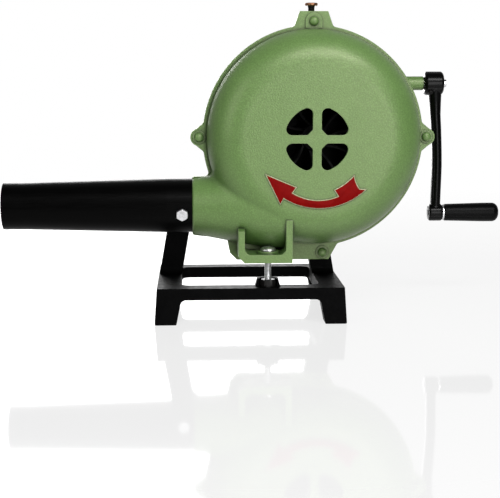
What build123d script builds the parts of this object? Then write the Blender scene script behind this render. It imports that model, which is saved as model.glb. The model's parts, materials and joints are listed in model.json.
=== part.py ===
from build123d import *
import os
from math import asin, atan2, cos, degrees, hypot, pi, radians, sin, tan

# Hand crank forge blower, in millimetres.
#
# A round two-part casting holds a fan. A worm drive behind the fan is turned by a crank on the
# right. Air comes in through four vents in the front face and leaves on the left through a pipe.
#
# Every piece is drawn about the fan's axis: X runs to the right, Y to the back, Z up, and Y is 0
# at the joint between the two casting halves. place() then moves it into the part's own frame,
# whose origin is the centre of the part's footprint, on the surface that it stands on.

# ---------------------------------------------------------------- driving dimensions
axis_height = 220.5          # fan axis above the floor

# round casing
casing_radius = 128.0
casing_wall = 5.0
front_depth = 56.0           # joint plane to the front face
rear_depth = 37.0            # joint plane to the chamber's back
front_shoulder = 42.0        # outer rounding from the front face to the rim
rear_shoulder = 16.0
flange_reach = 5.0           # flange beyond the casing's wall
flange_thickness = 6.0
flange_corner = 5.0          # rounding between the flange's outline and its lugs

# casing lugs and their bolts
bolt_circle = 137.2
lug_tip_radius = 10.5
lug_base_half = 23.0
lower_bolt_x = 12.0
lower_bolt_drop = 140.2
pad_radius = 7.8
pad_height = 1.2
bolt_radius = 3.0
bolt_hole_clearance = 0.3
bolt_tail = 2.0              # bolt beyond its nut
top_bolt_depth = 18.0        # the top bolt has no nut and ends in the block behind the joint
bolt_head_radius = 5.6
bolt_head_height = 4.4
dome_shares = ((1.0, 0.5), (0.8, 0.85), (0.4, 1.0))   # a domed head's (radius, height) points
nut_flats = 10.0
nut_height = 5.0

# block on top with the oil cup
block_top = 149.0
block_half_top = 17.0
block_half_base = 24.0
block_base = 129.0
block_back = 60.0
block_pad_half = 10.2
cup_y = 28.0                 # behind the joint plane
gallery_radius = 3.0
gallery_z = 138.5
pocket_half = 12.0
pocket_front = 42.0
pocket_back = 58.0
pocket_top = 143.0
pocket_bottom = 95.0
cup_stem_radius = 4.0
cup_radius = 4.2
cup_bore = 2.4
cup_height = 7.6
cup_seat = 5.0
cup_washer_radius = 6.5
cup_washer_height = 1.0
cap_radius = 7.75
cap_height = 3.7
cap_edge = 0.8
cap_pin_length = 10.0
cap_gap = 0.2

# vents
vent_radius = 38.6
vent_bar_upright = 10.3
vent_bar_level = 9.5
vent_hub = 23.0              # width across the square turned hub that clips the inner corners
vent_corner = 7.0
vent_hub_corner = 3.0

# raised arrow
arrow_height = 1.6
arrow_head = ((-38.9, -69.3), (-43.1, -76.8), (-61.2, -39.8), (-23.4, -55.6), (-28.3, -62.2))
arrow_inner_mid = (0.0, -70.8)
arrow_tail = ((24.7, -66.4), (19.7, -58.8), (43.8, -40.9), (50.3, -57.7), (58.8, -58.2))
arrow_tail_mid = (33.5, -50.8)
arrow_notch_mid = (45.9, -50.0)
arrow_outer_mid = (8.0, -81.0)

# outlet and pipe
outlet_drop = 82.5           # outlet axis below the fan axis
outlet_end = 146.0           # shoulder of the outlet, left of the fan axis
outlet_radius = 34.0
outlet_lip = 35.5            # half height of the flange along the outlet
outlet_lip_slope = 5.0       # fall of its lower edge from the shoulder to the skirt
outlet_bore = 26.5
outlet_round = 8.0           # hollow rounding between the outlet and the casing's back
outlet_edge = 3.0
bulge_middle = (-92.0, 84.0, 48.0, 43.5)   # x, drop, half depth and half height of the outlet's
bulge_end = (-31.0, 85.0, 54.0, 53.0)       # front bulge, and the same for the hollow inside it
bulge_round = 8.0            # hollow rounding between the bulge and the casing's front
hollow_middle = (-92.0, 83.0, 40.0, 33.0)
hollow_end = (-50.0, 84.0, 46.0, 40.0)
spigot_length = 24.0
pipe_length = 226.5
pipe_wall = 1.6
pipe_root_radius = 32.5
pipe_mouth_radius = 28.0
pipe_root_straight = 30.0
pipe_mouth_straight = 25.0
pipe_screw_back = 12.0       # screw axis from the shoulder
pipe_screw_low = 7.0         # screw axis below the pipe axis
pipe_screw_radius = 4.0
pipe_screw_flats = 13.0
pipe_screw_head = 5.0
pipe_screw_length = 9.0
pipe_screw_chamfer = 1.4

# skirt of the flange, under the casing
skirt_left = -100.5
skirt_left_top = -105.0
skirt_bottom = -149.0
skirt_chamfer = 8.5
skirt_right = 20.0
skirt_right_top_x = 31.0
skirt_right_top_z = -129.0

# front bracket
bracket_left = -92.0
bracket_right = -28.0
bracket_wall = 7.6
bracket_floor_top = -136.2
bracket_floor = 9.6
bracket_front = -54.5
bracket_left_top = -108.0
bracket_right_top = -95.0
bracket_inner_round = 8.0
bracket_outer_cut = 7.5
bracket_slope = 12.0         # rise of each wall's top edge to the flange

# levelling bolt of the bracket
level_x = -56.0
level_y = -37.0
level_radius = 4.0
level_head_radius = 9.6
level_head_height = 5.2
mushroom_shares = ((1.0, 0.23), (0.86, 0.62), (0.6, 0.88), (0.3, 1.0))
level_pad_radius = 13.0
level_pad_height = 3.0
level_nut_flats = 16.0
level_nut_height = 8.8
level_nut_room = 1.6         # beside the nut
level_boss_base = 30.0
level_boss_top = 24.5
level_boss_height = 9.6
level_boss_depth = 13.5      # back from the bolt's axis

# stand
stand_left = -188.8
stand_width = 224.0
stand_front = -50.0
stand_depth = 178.0
stand_height = 44.0          # floor to the frame's top
rail_thickness = 14.0
front_rail = 23.0
rear_rail = 21.0
side_rail = 29.0
window_corner = 11.0
leg_splay = 3.0
foot_width = 26.0
foot_edge = 1.5
leg_round = 7.0
post_front = 58.0
post_inset = 0.8             # from the stand's side edges
post_depth = 22.0
post_width = 28.5
post_lean = 10.0             # degrees
post_foot_round = 8.0
saddle_bottom = -103.0
saddle_top = -73.0
saddle_depth = 14.0
saddle_z = -87.0
saddle_bolt_inset = 23.0     # from each post's inner face to the bolt
saddle_pad_radius = 13.0
saddle_pad_root = 28.5       # behind the joint plane
saddle_bolt_radius = 4.0
saddle_bolt_grip = 9.0       # thread length inside the casing's pad
saddle_bolt_flats = 13.0
saddle_bolt_head = 5.3

# worm drive
module = 2.2
worm_starts = 2
wheel_teeth = 50
worm_pitch_radius = 8.0
worm_length = 34.0
tooth_slack = 0.36           # taken off each tooth's thickness at the pitch line
pressure_angle = 20.0
tip_clearance = 0.25         # in modules
wheel_face = 12.0
wheel_rim = 6.0
wheel_web = 5.0
wheel_hub_radius = 13.0
wheel_hub_left = -10.0
wheel_hub_right = 14.0
wheel_pin_radius = 2.0
wheel_pin_x = 10.0
wheel_pin_inset = 0.5        # of the pin's ends, inside the wheel's hub
thread_sink_share = 1 / 9    # share of the worm's core that a thread's foot sinks in

# gear case
case_clearance = 1.8         # wheel tip to the case's wall
case_wall = 5.0
case_left = -18.0
case_inner_right = 17.0
case_side_wall = 5.0
case_floor = -19.0           # inner
case_end = 137.0             # inner, behind the worm
case_end_wall = 8.0
case_corner = 9.0
gasket_thickness = 1.0
cover_thickness = 5.0
cover_boss_radius = 14.0
cover_boss_length = 12.0
cover_boss_taper = 1.0       # each way, from the boss's middle radius
cover_screw_radius = 2.5
cover_screw_boss = 5.6
cover_screw_depth = 12.0
cover_screw_head = 4.4
cover_screw_head_height = 3.4
cover_screw_angles = (-18.0, 42.0, 100.0, 146.0)
cover_screw_low_ys = (50.0, 122.0)

# fan shaft and its bearings
shaft_radius = 5.0
shaft_front = -28.0
shaft_room = 1.0             # round the shaft, where it passes through a wall
bearing_outer = 13.0
bearing_width = 8.0
bearing_ring = 2.6
ball_radius = 2.3
ball_count = 8
ball_play = 0.05
front_bearing_y = 38.0
bearing_boss_radius = 18.0
seal_radius = 9.0
seal_width = 4.0
bearing_cap_radius = 21.0
bearing_cap_thickness = 5.0
bearing_cap_edge = 1.5
screw_head_edge = 1.0        # chamfer of the small screws' heads
cap_screw_circle = 17.0
cap_screw_radius = 2.0
cap_screw_head = 3.6
cap_screw_head_height = 2.8
cap_screw_depth = 6.0

# fan
fan_radius = 98.0
fan_hub_radius = 16.0
fan_hub_front = -20.0
fan_plate_back = 22.0
fan_plate_thickness = 3.0
fan_blade_count = 10
fan_blade = 2.6
fan_blade_front = -38.0
fan_blade_slope_radius = 40.0
fan_blade_bow = 60.0         # bend radius of a blade
fan_blade_rise = 10.0        # of its middle above the line from the hub
fan_hub_edge = 1.5
fan_hub_fillet = 7.0
fan_hub_length = 6.0         # behind the plate
fan_nut_flats = 13.0
fan_nut_height = 6.5
fan_thread_radius = 4.0

# crank shaft, its tube and bushes
crank_radius = 6.0
crank_left_end = -33.0
tube_radius = 8.8
tube_end = 152.4
tube_bore = 6.5
tube_edge = 1.0
tube_root_radius = 15.0
tube_root_length = 14.0
bush_wall_outer = 1.3
bush_wall_cover = 2.0
bush_length_outer = 18.0
bush_length_cover = 15.0
spacer_radius = 9.0

# crank arm and grip
arm_length = 167.4
hub_left = 154.0
hub_right = 179.0
hub_radius = 15.0
hub_chamfer = 2.0
eye_radius = 11.0
eye_left = 162.3
eye_right = 180.2
eye_chamfer = 1.6
arm_centre = 172.2
arm_stations = (             # share of the length, offset along X, thickness, breadth
    (0.04, -3.6, 14.2, 25.0),
    (0.13, -3.4, 13.0, 19.0),
    (0.42, 0.2, 12.6, 17.0),
    (0.63, 1.1, 12.6, 16.0),
    (0.97, 0.0, 12.8, 15.0),
)
arm_corner = 4.5
shaft_stub_radius = 4.8
shaft_stub_length = 2.6
set_screw_x = 160.0
set_screw_radius = 3.0
set_screw_head = 3.4
set_screw_stand = 2.4
set_screw_edge = 0.8
set_screw_angle = 45.0       # below level, towards the front
grip_pin_radius = 4.0
grip_pin_head = 5.4
grip_pin_head_length = 4.0
grip_pin_end = 0.6           # beyond the eye's face
washer_radius = 10.0
washer_thickness = 2.0
grip_gap = 0.4
grip_length = 71.5
grip_root_radius = 10.9
grip_end_radius = 12.2
grip_end_round = 9.0
grip_root_edge = 1.0
grip_straight = 12.0         # straight part before the end cap
grip_cap_rim = 1.0           # straight part of the end cap's side
grip_cap_length = 12.0
grip_socket_radius = 7.0

# clearances
running = 0.05               # radial, where a piece turns
seated = 0.02                # radial, where a piece is held
face_gap = 0.2               # along an axis, beside a turning piece
end_gap = 1.0                # between a screw's or shaft's end and the bottom of its hole
past = 1.0                   # how far a cut or a joined form runs past the face it meets

# ---------------------------------------------------------------- worked out from them
flange_radius = casing_radius + flange_reach
floor_z = -axis_height
stand_top = floor_z + stand_height
rail_bottom = stand_top - rail_thickness
wheel_pitch_radius = module * wheel_teeth / 2
crank_rise = worm_pitch_radius + wheel_pitch_radius
worm_tip_radius = worm_pitch_radius + module
worm_root_radius = worm_pitch_radius - module * (1 + tip_clearance)
wheel_tip_radius = wheel_pitch_radius + module
wheel_root_radius = wheel_pitch_radius - module * (1 + tip_clearance)
worm_lead = pi * module * worm_starts
lead_angle = degrees(atan2(worm_lead, 2 * pi * worm_pitch_radius))
thread_pitch = worm_lead / worm_starts
gap_offset = (thread_pitch - worm_length) / 2          # a gap between threads, from the middle
wheel_phase = degrees(gap_offset / wheel_pitch_radius) - 90
case_radius = wheel_tip_radius + case_clearance
crank_y = rear_depth + case_radius
case_outer_radius = case_radius + case_wall
case_back = case_end + case_end_wall
rear_bearing_y = case_back - bearing_width
cover_outer = case_left - gasket_thickness - cover_thickness
grip_z = crank_rise - arm_length
grip_left = eye_right + washer_thickness + grip_gap
grip_right = grip_left + grip_length
bulge_stations = (
    (-outlet_end, outlet_drop, outlet_radius, outlet_radius), bulge_middle, bulge_end,
)
hollow_stations = (
    (-outlet_end, outlet_drop, outlet_bore, outlet_bore), hollow_middle, hollow_end,
)
spigot_radius = pipe_root_radius - pipe_wall - seated
nut_spots = (
    (-bolt_circle, 0.0),
    (bolt_circle, 0.0),
    (lower_bolt_x, -lower_bolt_drop),
)
top_bolt_spot = (0.0, bolt_circle)
bolt_spots = nut_spots + (top_bolt_spot,)
screw_tilt = degrees(asin(pipe_screw_low / pipe_root_radius))
reach_left = outlet_end + pipe_length
post_left = stand_left + post_inset
post_right = stand_left + stand_width - post_inset
post_shift = (saddle_top - stand_top) * tan(radians(post_lean))
saddle_bolt_xs = (
    post_left + post_width + post_shift + saddle_bolt_inset,
    post_right - post_width - post_shift - saddle_bolt_inset,
)
cover_screw_ring = case_outer_radius + face_gap
reach_back = crank_y + cover_screw_boss + cover_screw_ring * cos(radians(cover_screw_angles[0]))
reach_front = front_depth + arrow_height
origin_x = (reach_left - grip_right) / 2
origin_y = (reach_front - reach_back) / 2


# ---------------------------------------------------------------- drawing helpers
def flat_xz(sketch, y_front, y_back):
    """A sketch drawn in X and Z, as thick as the stretch from y_front to y_back."""
    plane = Plane((0, y_back, 0), x_dir=(1, 0, 0), z_dir=(0, -1, 0))
    return extrude(plane * sketch, amount=y_back - y_front)


def flat_yz(sketch, x_left, x_right):
    """A sketch drawn in Y and Z, as thick as the stretch from x_left to x_right."""
    plane = Plane((x_left, 0, 0), x_dir=(0, 1, 0), z_dir=(1, 0, 0))
    return extrude(plane * sketch, amount=x_right - x_left)


def flat_xy(sketch, z_low, z_high):
    """A sketch drawn in X and Y, as thick as the stretch from z_low to z_high."""
    return extrude(Plane((0, 0, z_low)) * sketch, amount=z_high - z_low)


def rod_x(radius, x_left, x_right, y=0.0, z=0.0):
    return flat_yz(Pos(y, z) * Circle(radius), x_left, x_right)


def rod_y(radius, y_front, y_back, x=0.0, z=0.0):
    return flat_xz(Pos(x, z) * Circle(radius), y_front, y_back)


def rod_z(radius, z_low, z_high, x=0.0, y=0.0):
    return flat_xy(Pos(x, y) * Circle(radius), z_low, z_high)


def hexagon(flats):
    return RegularPolygon(flats / 2, 6, major_radius=False)


def polygon(*points):
    return make_face(Polyline(*points, close=True))


def block(x_left, x_right, y_front, y_back, z_low, z_high):
    centre = Pos((x_left + x_right) / 2, (y_front + y_back) / 2, (z_low + z_high) / 2)
    return centre * Box(x_right - x_left, y_back - y_front, z_high - z_low)


def turned_y(*outline, x=0.0, z=0.0):
    """Turns an outline of (radius, y) points about an axis along Y."""
    return Pos(x, 0, z) * revolve(polygon(*outline), Axis.Y)


def turned_x(*outline, y=0.0, z=0.0):
    """Turns an outline of (x, radius) points about an axis along X."""
    return Pos(0, y, z) * revolve(polygon(*outline), Axis.X)


def turned_z(*outline, x=0.0, y=0.0):
    """Turns an outline of (radius, z) points about an axis along Z."""
    face = Plane.XZ * polygon(*outline)
    return Pos(x, y, 0) * revolve(face, Axis.Z)


def corner(sketch, x, y, radius):
    """Rounds the corner of a sketch that lies nearest to (x, y)."""
    nearest = min(sketch.vertices(), key=lambda v: hypot(v.X - x, v.Y - y))
    return fillet(nearest, radius)


# ---------------------------------------------------------------- casing
def cup_form(radius, depth, shoulder):
    """A closed cup from the joint plane to y = depth, with a rounded edge at its end."""
    outline = polygon((0, 0), (radius, 0), (radius, depth), (0, depth))
    return revolve(corner(outline, radius, depth, shoulder), Axis.Y)


def lug(x, z):
    """A pointed lug on the flange's edge, round about a bolt at (x, z)."""
    away = degrees(atan2(z, x))
    foot = hypot(flange_radius, lug_base_half) - flange_reach
    tip = hypot(x, z)
    tilt = asin(lug_tip_radius / (tip - foot + lug_base_half))
    touch_x = tip + lug_tip_radius * sin(tilt)
    touch_y = lug_tip_radius * cos(tilt)
    inner = casing_radius - flange_reach
    sides = polygon(
        (inner, -lug_base_half), (foot - flange_reach, -lug_base_half), (touch_x, -touch_y),
        (touch_x, touch_y), (foot - flange_reach, lug_base_half), (inner, lug_base_half),
    )
    return Rot(0, 0, away) * (sides + Pos(tip, 0) * Circle(lug_tip_radius))


def block_outline():
    return polygon(
        (-block_half_base, block_base - flange_reach), (-block_half_base, block_base),
        (-block_half_top, block_top), (block_half_top, block_top),
        (block_half_base, block_base), (block_half_base, block_base - flange_reach),
    )


def skirt_outline():
    return polygon(
        (skirt_left_top, -outlet_drop), (skirt_left_top, -outlet_drop - outlet_lip),
        (skirt_left, skirt_bottom + skirt_chamfer),
        (skirt_left + skirt_chamfer, skirt_bottom), (skirt_right, skirt_bottom),
        (skirt_right_top_x, skirt_right_top_z), (0, -outlet_drop),
    )


def flange_outline():
    """The outline that both halves share at their joint."""
    outline = Circle(flange_radius) + lug(*nut_spots[0]) + lug(*nut_spots[1])
    outline += block_outline() + skirt_outline()
    strip = polygon(
        (-outlet_end, -outlet_drop - outlet_lip),
        (skirt_left_top, -outlet_drop - outlet_lip - outlet_lip_slope),
        (0, -outlet_drop - outlet_lip), (0, -outlet_drop + outlet_lip),
        (-outlet_end, -outlet_drop + outlet_lip),
    )
    outline += strip
    joints = [v for v in outline.vertices() if abs(hypot(v.X, v.Y) - flange_radius) < seated]
    outline = fillet(joints, flange_corner)
    for z in (-outlet_drop - outlet_lip, -outlet_drop + outlet_lip):
        outline = corner(outline, -outlet_end, z, outlet_edge)
    return outline


def outlet_form(radius, end):
    return rod_x(radius, -end, 0, 0, -outlet_drop)


def outlet_bulge(stations):
    """A round form at the outlet's end that grows into an oval inside the casing."""
    sections = []
    for x, drop, depth, height in stations:
        plane = Plane((x, 0, -drop), x_dir=(0, 1, 0), z_dir=(1, 0, 0))
        sections.append(plane * Ellipse(depth, height))
    return loft(sections)


def rear_shell():
    """The outside of the rear half: its cup with half of the outlet, rounded where they meet."""
    cup = cup_form(casing_radius, rear_depth, rear_shoulder)
    outlet = outlet_form(outlet_radius, outlet_end) & half_space(1)
    shell = cup + outlet
    return fillet(new_edges(cup, outlet, combined=shell), outlet_round)


def front_shell():
    """The outside of the front half: its cup with the outlet's bulge, rounded where they meet."""
    cup = cup_form(casing_radius, -front_depth, front_shoulder)
    bulge = outlet_bulge(bulge_stations)
    end = bulge.edges().sort_by(Axis.X)[0]
    bulge = fillet(end, outlet_edge) & half_space(-1)
    shell = cup + bulge
    return fillet(new_edges(cup, bulge, combined=shell), bulge_round)


def half_space(side):
    """All the room in front of the joint for side -1, or behind it for side 1."""
    reach = 4 * front_depth
    return block(-2 * outlet_end, 2 * outlet_end, min(0, side * reach), max(0, side * reach),
                 -2 * axis_height, 2 * axis_height)


def vents():
    """Four quarter openings, clipped at the hub of the cross."""
    half = quarter_vent() + mirror(quarter_vent(), about=Plane.YZ)
    openings = half + mirror(half, about=Plane.XZ)
    return flat_xz(openings, -front_depth - casing_wall, -front_depth + 2 * casing_wall)


def quarter_vent():
    reach = vent_radius
    side = Pos(vent_bar_upright / 2 + reach, vent_bar_level / 2 + reach) * Rectangle(
        2 * reach, 2 * reach)
    quarter = (Circle(reach) & side) - Rot(0, 0, 45) * Rectangle(vent_hub, vent_hub)
    outer = [v for v in quarter.vertices() if hypot(v.X, v.Y) > reach - seated]
    quarter = fillet(outer, vent_corner)
    inner = [v for v in quarter.vertices() if hypot(v.X, v.Y) < vent_hub]
    return fillet(inner, vent_hub_corner)


def bracket_form():
    """The open channel under the casing's front that the levelling bolt holds down."""
    floor_bottom = bracket_floor_top - bracket_floor
    outer = polygon(
        (bracket_left, -outlet_drop), (bracket_left, floor_bottom + bracket_outer_cut),
        (bracket_left + bracket_outer_cut, floor_bottom), (bracket_right, floor_bottom),
        (bracket_right, -outlet_drop),
    )
    inner = polygon(
        (bracket_left + bracket_wall, 0), (bracket_left + bracket_wall, bracket_floor_top),
        (bracket_right - bracket_wall, bracket_floor_top), (bracket_right - bracket_wall, 0),
    )
    for x in (bracket_left + bracket_wall, bracket_right - bracket_wall):
        inner = corner(inner, x, bracket_floor_top, bracket_inner_round)
    channel = flat_xz(outer - inner, bracket_front, -flange_thickness / 2)
    middle = (bracket_left + bracket_right) / 2
    for x0, x1, top in ((bracket_left, middle, bracket_left_top),
                        (middle, bracket_right, bracket_right_top)):
        above = polygon(
            (bracket_front, top), (0, top + bracket_slope), (0, 0), (2 * bracket_front, 0),
            (2 * bracket_front, top),
        )
        channel -= flat_yz(above, x0, x1)
    pad = rod_z(level_pad_radius, bracket_floor_top - past, bracket_floor_top + level_pad_height,
                level_x, level_y)
    return channel + pad


def front_housing():
    inner = cup_form(casing_radius - casing_wall, -front_depth + casing_wall,
                     front_shoulder - casing_wall)
    body = front_shell()
    body += outlet_form(spigot_radius, outlet_end + spigot_length) & half_space(-1)
    body += flat_xz(flange_outline(), -flange_thickness, 0)
    body += bracket_form()
    for x, z in bolt_spots:
        body += rod_y(pad_radius, -flange_thickness - pad_height, -past, x, z)
    body += top_pad()
    body -= inner
    body -= outlet_form(outlet_bore, outlet_end + 2 * spigot_length)
    body -= outlet_bulge(hollow_stations)
    body -= vents()
    for x, z in bolt_spots:
        body -= rod_y(bolt_radius + bolt_hole_clearance, -front_depth, past, x, z)
    body -= rod_z(level_radius + bolt_hole_clearance, -axis_height, bracket_floor_top + 2 * level_pad_height,
                  level_x, level_y)
    body -= screw_hole(pipe_screw_radius + seated)
    return body


def top_pad():
    """The raised pad with a round head that carries the top bolt."""
    outline = Pos(0, bolt_circle) * Circle(block_pad_half)
    outline += Pos(0, (block_base + bolt_circle) / 2) * Rectangle(
        2 * block_pad_half, bolt_circle - block_base)
    return flat_xz(outline, -flange_thickness - pad_height, -past)


def along_screw(solid):
    """Turns a solid that lies along -Y from the pipe's axis to the pipe screw's place."""
    turned = Rot(screw_tilt, 0, 0) * solid
    return Pos(-outlet_end - pipe_screw_back, 0, -outlet_drop) * turned


def screw_hole(radius):
    return along_screw(rod_y(radius, -2 * pipe_root_radius, -outlet_bore + 2 * past))


def oil_passages():
    """The hole for the oil cup and the way from it into the gear case."""
    hole_bottom = gallery_z - cup_stem_radius
    holes = rod_z(cup_stem_radius + seated, hole_bottom, block_top + past, 0, cup_y)
    holes += rod_y(gallery_radius, cup_y, pocket_front + past, 0, gallery_z)
    holes += block(-pocket_half, pocket_half, pocket_front, pocket_back,
                   pocket_bottom, pocket_top)
    return holes


def case_outline(grow):
    """The gear case seen from the side, in Y and Z, grown from its inner wall by grow."""
    wheel_room = Pos(crank_y, crank_rise) * Circle(case_radius + grow)
    worm_room = polygon(
        (rear_depth - grow, case_floor - grow), (case_end + grow, case_floor - grow),
        (case_end + grow, crank_rise / 2), (crank_y, crank_rise), (rear_depth - grow, crank_rise),
    )
    worm_room = corner(worm_room, case_end + grow, case_floor - grow, case_corner)
    worm_room = corner(worm_room, case_end + grow, crank_rise / 2, case_corner)
    return wheel_room + worm_room


def cover_screw_spots():
    """Places of the side cover's screws, as (y, z)."""
    ring = cover_screw_ring
    spots = [(crank_y + ring * cos(radians(a)), crank_rise + ring * sin(radians(a)))
             for a in cover_screw_angles]
    return spots + [(y, case_floor - case_wall) for y in cover_screw_low_ys]


def cover_outline():
    outline = case_outline(case_wall)
    for y, z in cover_screw_spots():
        outline += Pos(y, z) * Circle(cover_screw_boss)
    return outline & Pos(rear_depth + case_end, 0) * Rectangle(2 * case_end, 4 * case_end)


def rear_housing():
    case_right = case_inner_right + case_side_wall
    inner = cup_form(casing_radius - casing_wall, rear_depth - casing_wall,
                     rear_shoulder - casing_wall)
    body = rear_shell()
    body += outlet_form(spigot_radius, outlet_end + spigot_length) & half_space(1)
    body += flat_xz(flange_outline(), 0, flange_thickness)
    body += flat_xz(block_outline(), 0, block_back)
    body += block(case_left, block_half_top, rear_depth - casing_wall, block_back,
                  crank_rise, block_base)
    for x in saddle_bolt_xs:
        body += rod_y(saddle_pad_radius, saddle_pad_root, post_front, x, saddle_z)
    for x, z in nut_spots:
        body += rod_y(pad_radius, past, flange_thickness + pad_height, x, z)
    body -= inner
    body -= outlet_form(outlet_bore, outlet_end + 2 * spigot_length)
    cover_side = block(-2 * outlet_end, case_left, rear_depth, 2 * case_back, -outlet_drop,
                       block_top + past)
    body -= cover_side & flat_yz(case_outline(case_wall + cover_screw_boss), -outlet_end, 0)
    case_skin = flat_yz(case_outline(case_wall), case_left, case_right)
    for y, z in cover_screw_spots():
        case_skin += rod_x(cover_screw_boss, case_left, case_left + 2 * cover_screw_depth, y, z)
    case_skin += case_end_face(case_right)
    case_skin -= block(-outlet_end, outlet_end, -front_depth, rear_depth - casing_wall / 2,
                       -axis_height, axis_height)
    body += case_skin
    body -= flat_yz(case_outline(0), case_left - past, case_inner_right)
    body += rod_y(bearing_boss_radius, rear_depth - past, front_bearing_y + bearing_width)
    body += crank_tube(case_right)
    body -= rod_x(tube_bore, 0, tube_end + past, crank_y, crank_rise)
    body -= rod_x(bush_radius_outer(), tube_end - bush_length_outer, tube_end + past, crank_y,
                  crank_rise)
    body -= oil_passages()
    for x, z in nut_spots:
        body -= rod_y(bolt_radius + bolt_hole_clearance, -past, 2 * flange_thickness, x, z)
    body -= rod_y(bolt_radius + seated, -past, top_bolt_depth + end_gap, *top_bolt_spot)
    for x in saddle_bolt_xs:
        body -= rod_y(saddle_bolt_radius + seated, post_front - saddle_bolt_grip,
                      post_front + past, x, saddle_z)
    body -= rod_y(shaft_radius + shaft_room, 0, case_back)
    body -= rod_y(seal_radius, rear_depth - casing_wall - past,
                  rear_depth - casing_wall + seal_width)
    for y in (front_bearing_y, rear_bearing_y):
        body -= rod_y(bearing_outer + seated, y, y + bearing_width + past)
    for x, z in cap_screw_spots():
        body -= rod_y(cap_screw_radius + seated, case_back - cap_screw_depth, case_back + past,
                      x, z)
    for y, z in cover_screw_spots():
        body -= rod_x(cover_screw_radius + seated, case_left - past,
                      case_left + cover_screw_depth,
                      y, z)
    return body


def case_end_face(case_right):
    """The round end of the case that the bearing cap sits on."""
    disc = rod_y(bearing_cap_radius, case_end, case_back)
    keep = block(case_left, case_right + bearing_cap_radius, 0, 2 * case_back,
                 -axis_height, axis_height)
    return disc & keep


def crank_tube(case_right):
    root = turned_x(
        (case_inner_right + past, 0), (case_inner_right + past, tube_root_radius),
        (case_right, tube_root_radius), (case_right + tube_root_length, tube_radius),
        (tube_end - tube_edge, tube_radius), (tube_end, tube_radius - tube_edge), (tube_end, 0),
        y=crank_y, z=crank_rise,
    )
    return root


def bush_radius_outer():
    return crank_radius + running + bush_wall_outer + seated


def case_gasket():
    inner = case_outline(0)
    sheet = flat_yz(cover_outline() - inner, case_left - gasket_thickness, case_left)
    for y, z in cover_screw_spots():
        sheet -= rod_x(cover_screw_radius + seated, case_left - 2 * gasket_thickness, case_left + past,
                       y, z)
    return sheet


def case_cover():
    inside = case_left - gasket_thickness
    plate = flat_yz(cover_outline(), cover_outer, inside)
    boss = turned_x(
        (inside, 0), (inside, cover_boss_radius), (cover_outer, cover_boss_radius + cover_boss_taper),
        (cover_outer - cover_boss_length, cover_boss_radius - cover_boss_taper),
        (cover_outer - cover_boss_length, 0), y=crank_y, z=crank_rise,
    )
    plate += boss
    bush_radius = crank_radius + running + bush_wall_cover + seated
    plate -= rod_x(bush_radius, inside - bush_length_cover, inside + past, crank_y, crank_rise)
    for y, z in cover_screw_spots():
        plate -= rod_x(cover_screw_radius + bolt_hole_clearance, cover_outer - past, inside + past,
                       y, z)
    return plate


def cover_screws():
    screws = []
    for y, z in cover_screw_spots():
        shank = rod_x(cover_screw_radius, cover_outer, case_left + cover_screw_depth - end_gap, y, z)
        head = turned_x(
            (cover_outer, 0), (cover_outer, cover_screw_head),
            (cover_outer - cover_screw_head_height + screw_head_edge, cover_screw_head),
            (cover_outer - cover_screw_head_height, cover_screw_head - screw_head_edge),
            (cover_outer - cover_screw_head_height, 0), y=y, z=z,
        )
        screws.append(shank + head)
    return Compound(children=screws)


def direction_arrow():
    """A swallow-tailed arrow, bent about the fan axis, that shows which way the fan turns."""
    outer_root, lower_barb, tip, upper_barb, inner_root = arrow_head
    inner_end, tail_barb, tail_top, tail_notch, tail_low = arrow_tail
    outline = [
        Line(outer_root, lower_barb), Line(lower_barb, tip), Line(tip, upper_barb),
        Line(upper_barb, inner_root), ThreePointArc(inner_root, arrow_inner_mid, inner_end),
        Line(inner_end, tail_barb), ThreePointArc(tail_barb, arrow_tail_mid, tail_top),
        ThreePointArc(tail_top, arrow_notch_mid, tail_notch), Line(tail_notch, tail_low),
        ThreePointArc(tail_low, arrow_outer_mid, outer_root),
    ]
    sketch = make_face(Curve() + outline)
    return flat_xz(sketch, -front_depth - arrow_height, -front_depth)


# ---------------------------------------------------------------- casing fasteners
def housing_bolts():
    bolts = []
    seat = -flange_thickness - pad_height
    nut_end = flange_thickness + pad_height + nut_height + bolt_tail
    for x, z in bolt_spots:
        end = top_bolt_depth if (x, z) == top_bolt_spot else nut_end
        head = turned_y(
            (0, seat), (bolt_head_radius, seat),
            *[(bolt_head_radius * r, seat - bolt_head_height * h) for r, h in dome_shares],
            (0, seat - bolt_head_height), x=x, z=z,
        )
        bolts.append(head + rod_y(bolt_radius, seat, end, x, z))
    return Compound(children=bolts)


def housing_nuts():
    nuts = []
    seat = flange_thickness + pad_height
    for x, z in nut_spots:
        nut = flat_xz(Pos(x, z) * hexagon(nut_flats), seat, seat + nut_height)
        nuts.append(nut - rod_y(bolt_radius + seated, 0, 2 * seat + nut_height, x, z))
    return Compound(children=nuts)


# ---------------------------------------------------------------- oil cup
def oil_cup():
    seat = block_top
    body = rod_z(cup_radius, seat, seat + cup_height, 0, cup_y)
    body += rod_z(cup_stem_radius, seat - cup_seat, seat, 0, cup_y)
    body += rod_z(cup_washer_radius, seat, seat + cup_washer_height, 0, cup_y)
    return body - rod_z(cup_bore, seat - cup_seat - past, seat + cup_height + past, 0, cup_y)


def oil_cap():
    seat = block_top + cup_height + cap_gap
    knob = turned_z(
        (0, seat), (cap_radius - cap_edge, seat), (cap_radius, seat + cap_edge),
        (cap_radius, seat + cap_height - cap_edge), (cap_radius - cap_edge, seat + cap_height),
        (0, seat + cap_height), y=cup_y,
    )
    return knob + rod_z(cup_bore - running, seat - cap_pin_length, seat, 0, cup_y)


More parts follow.
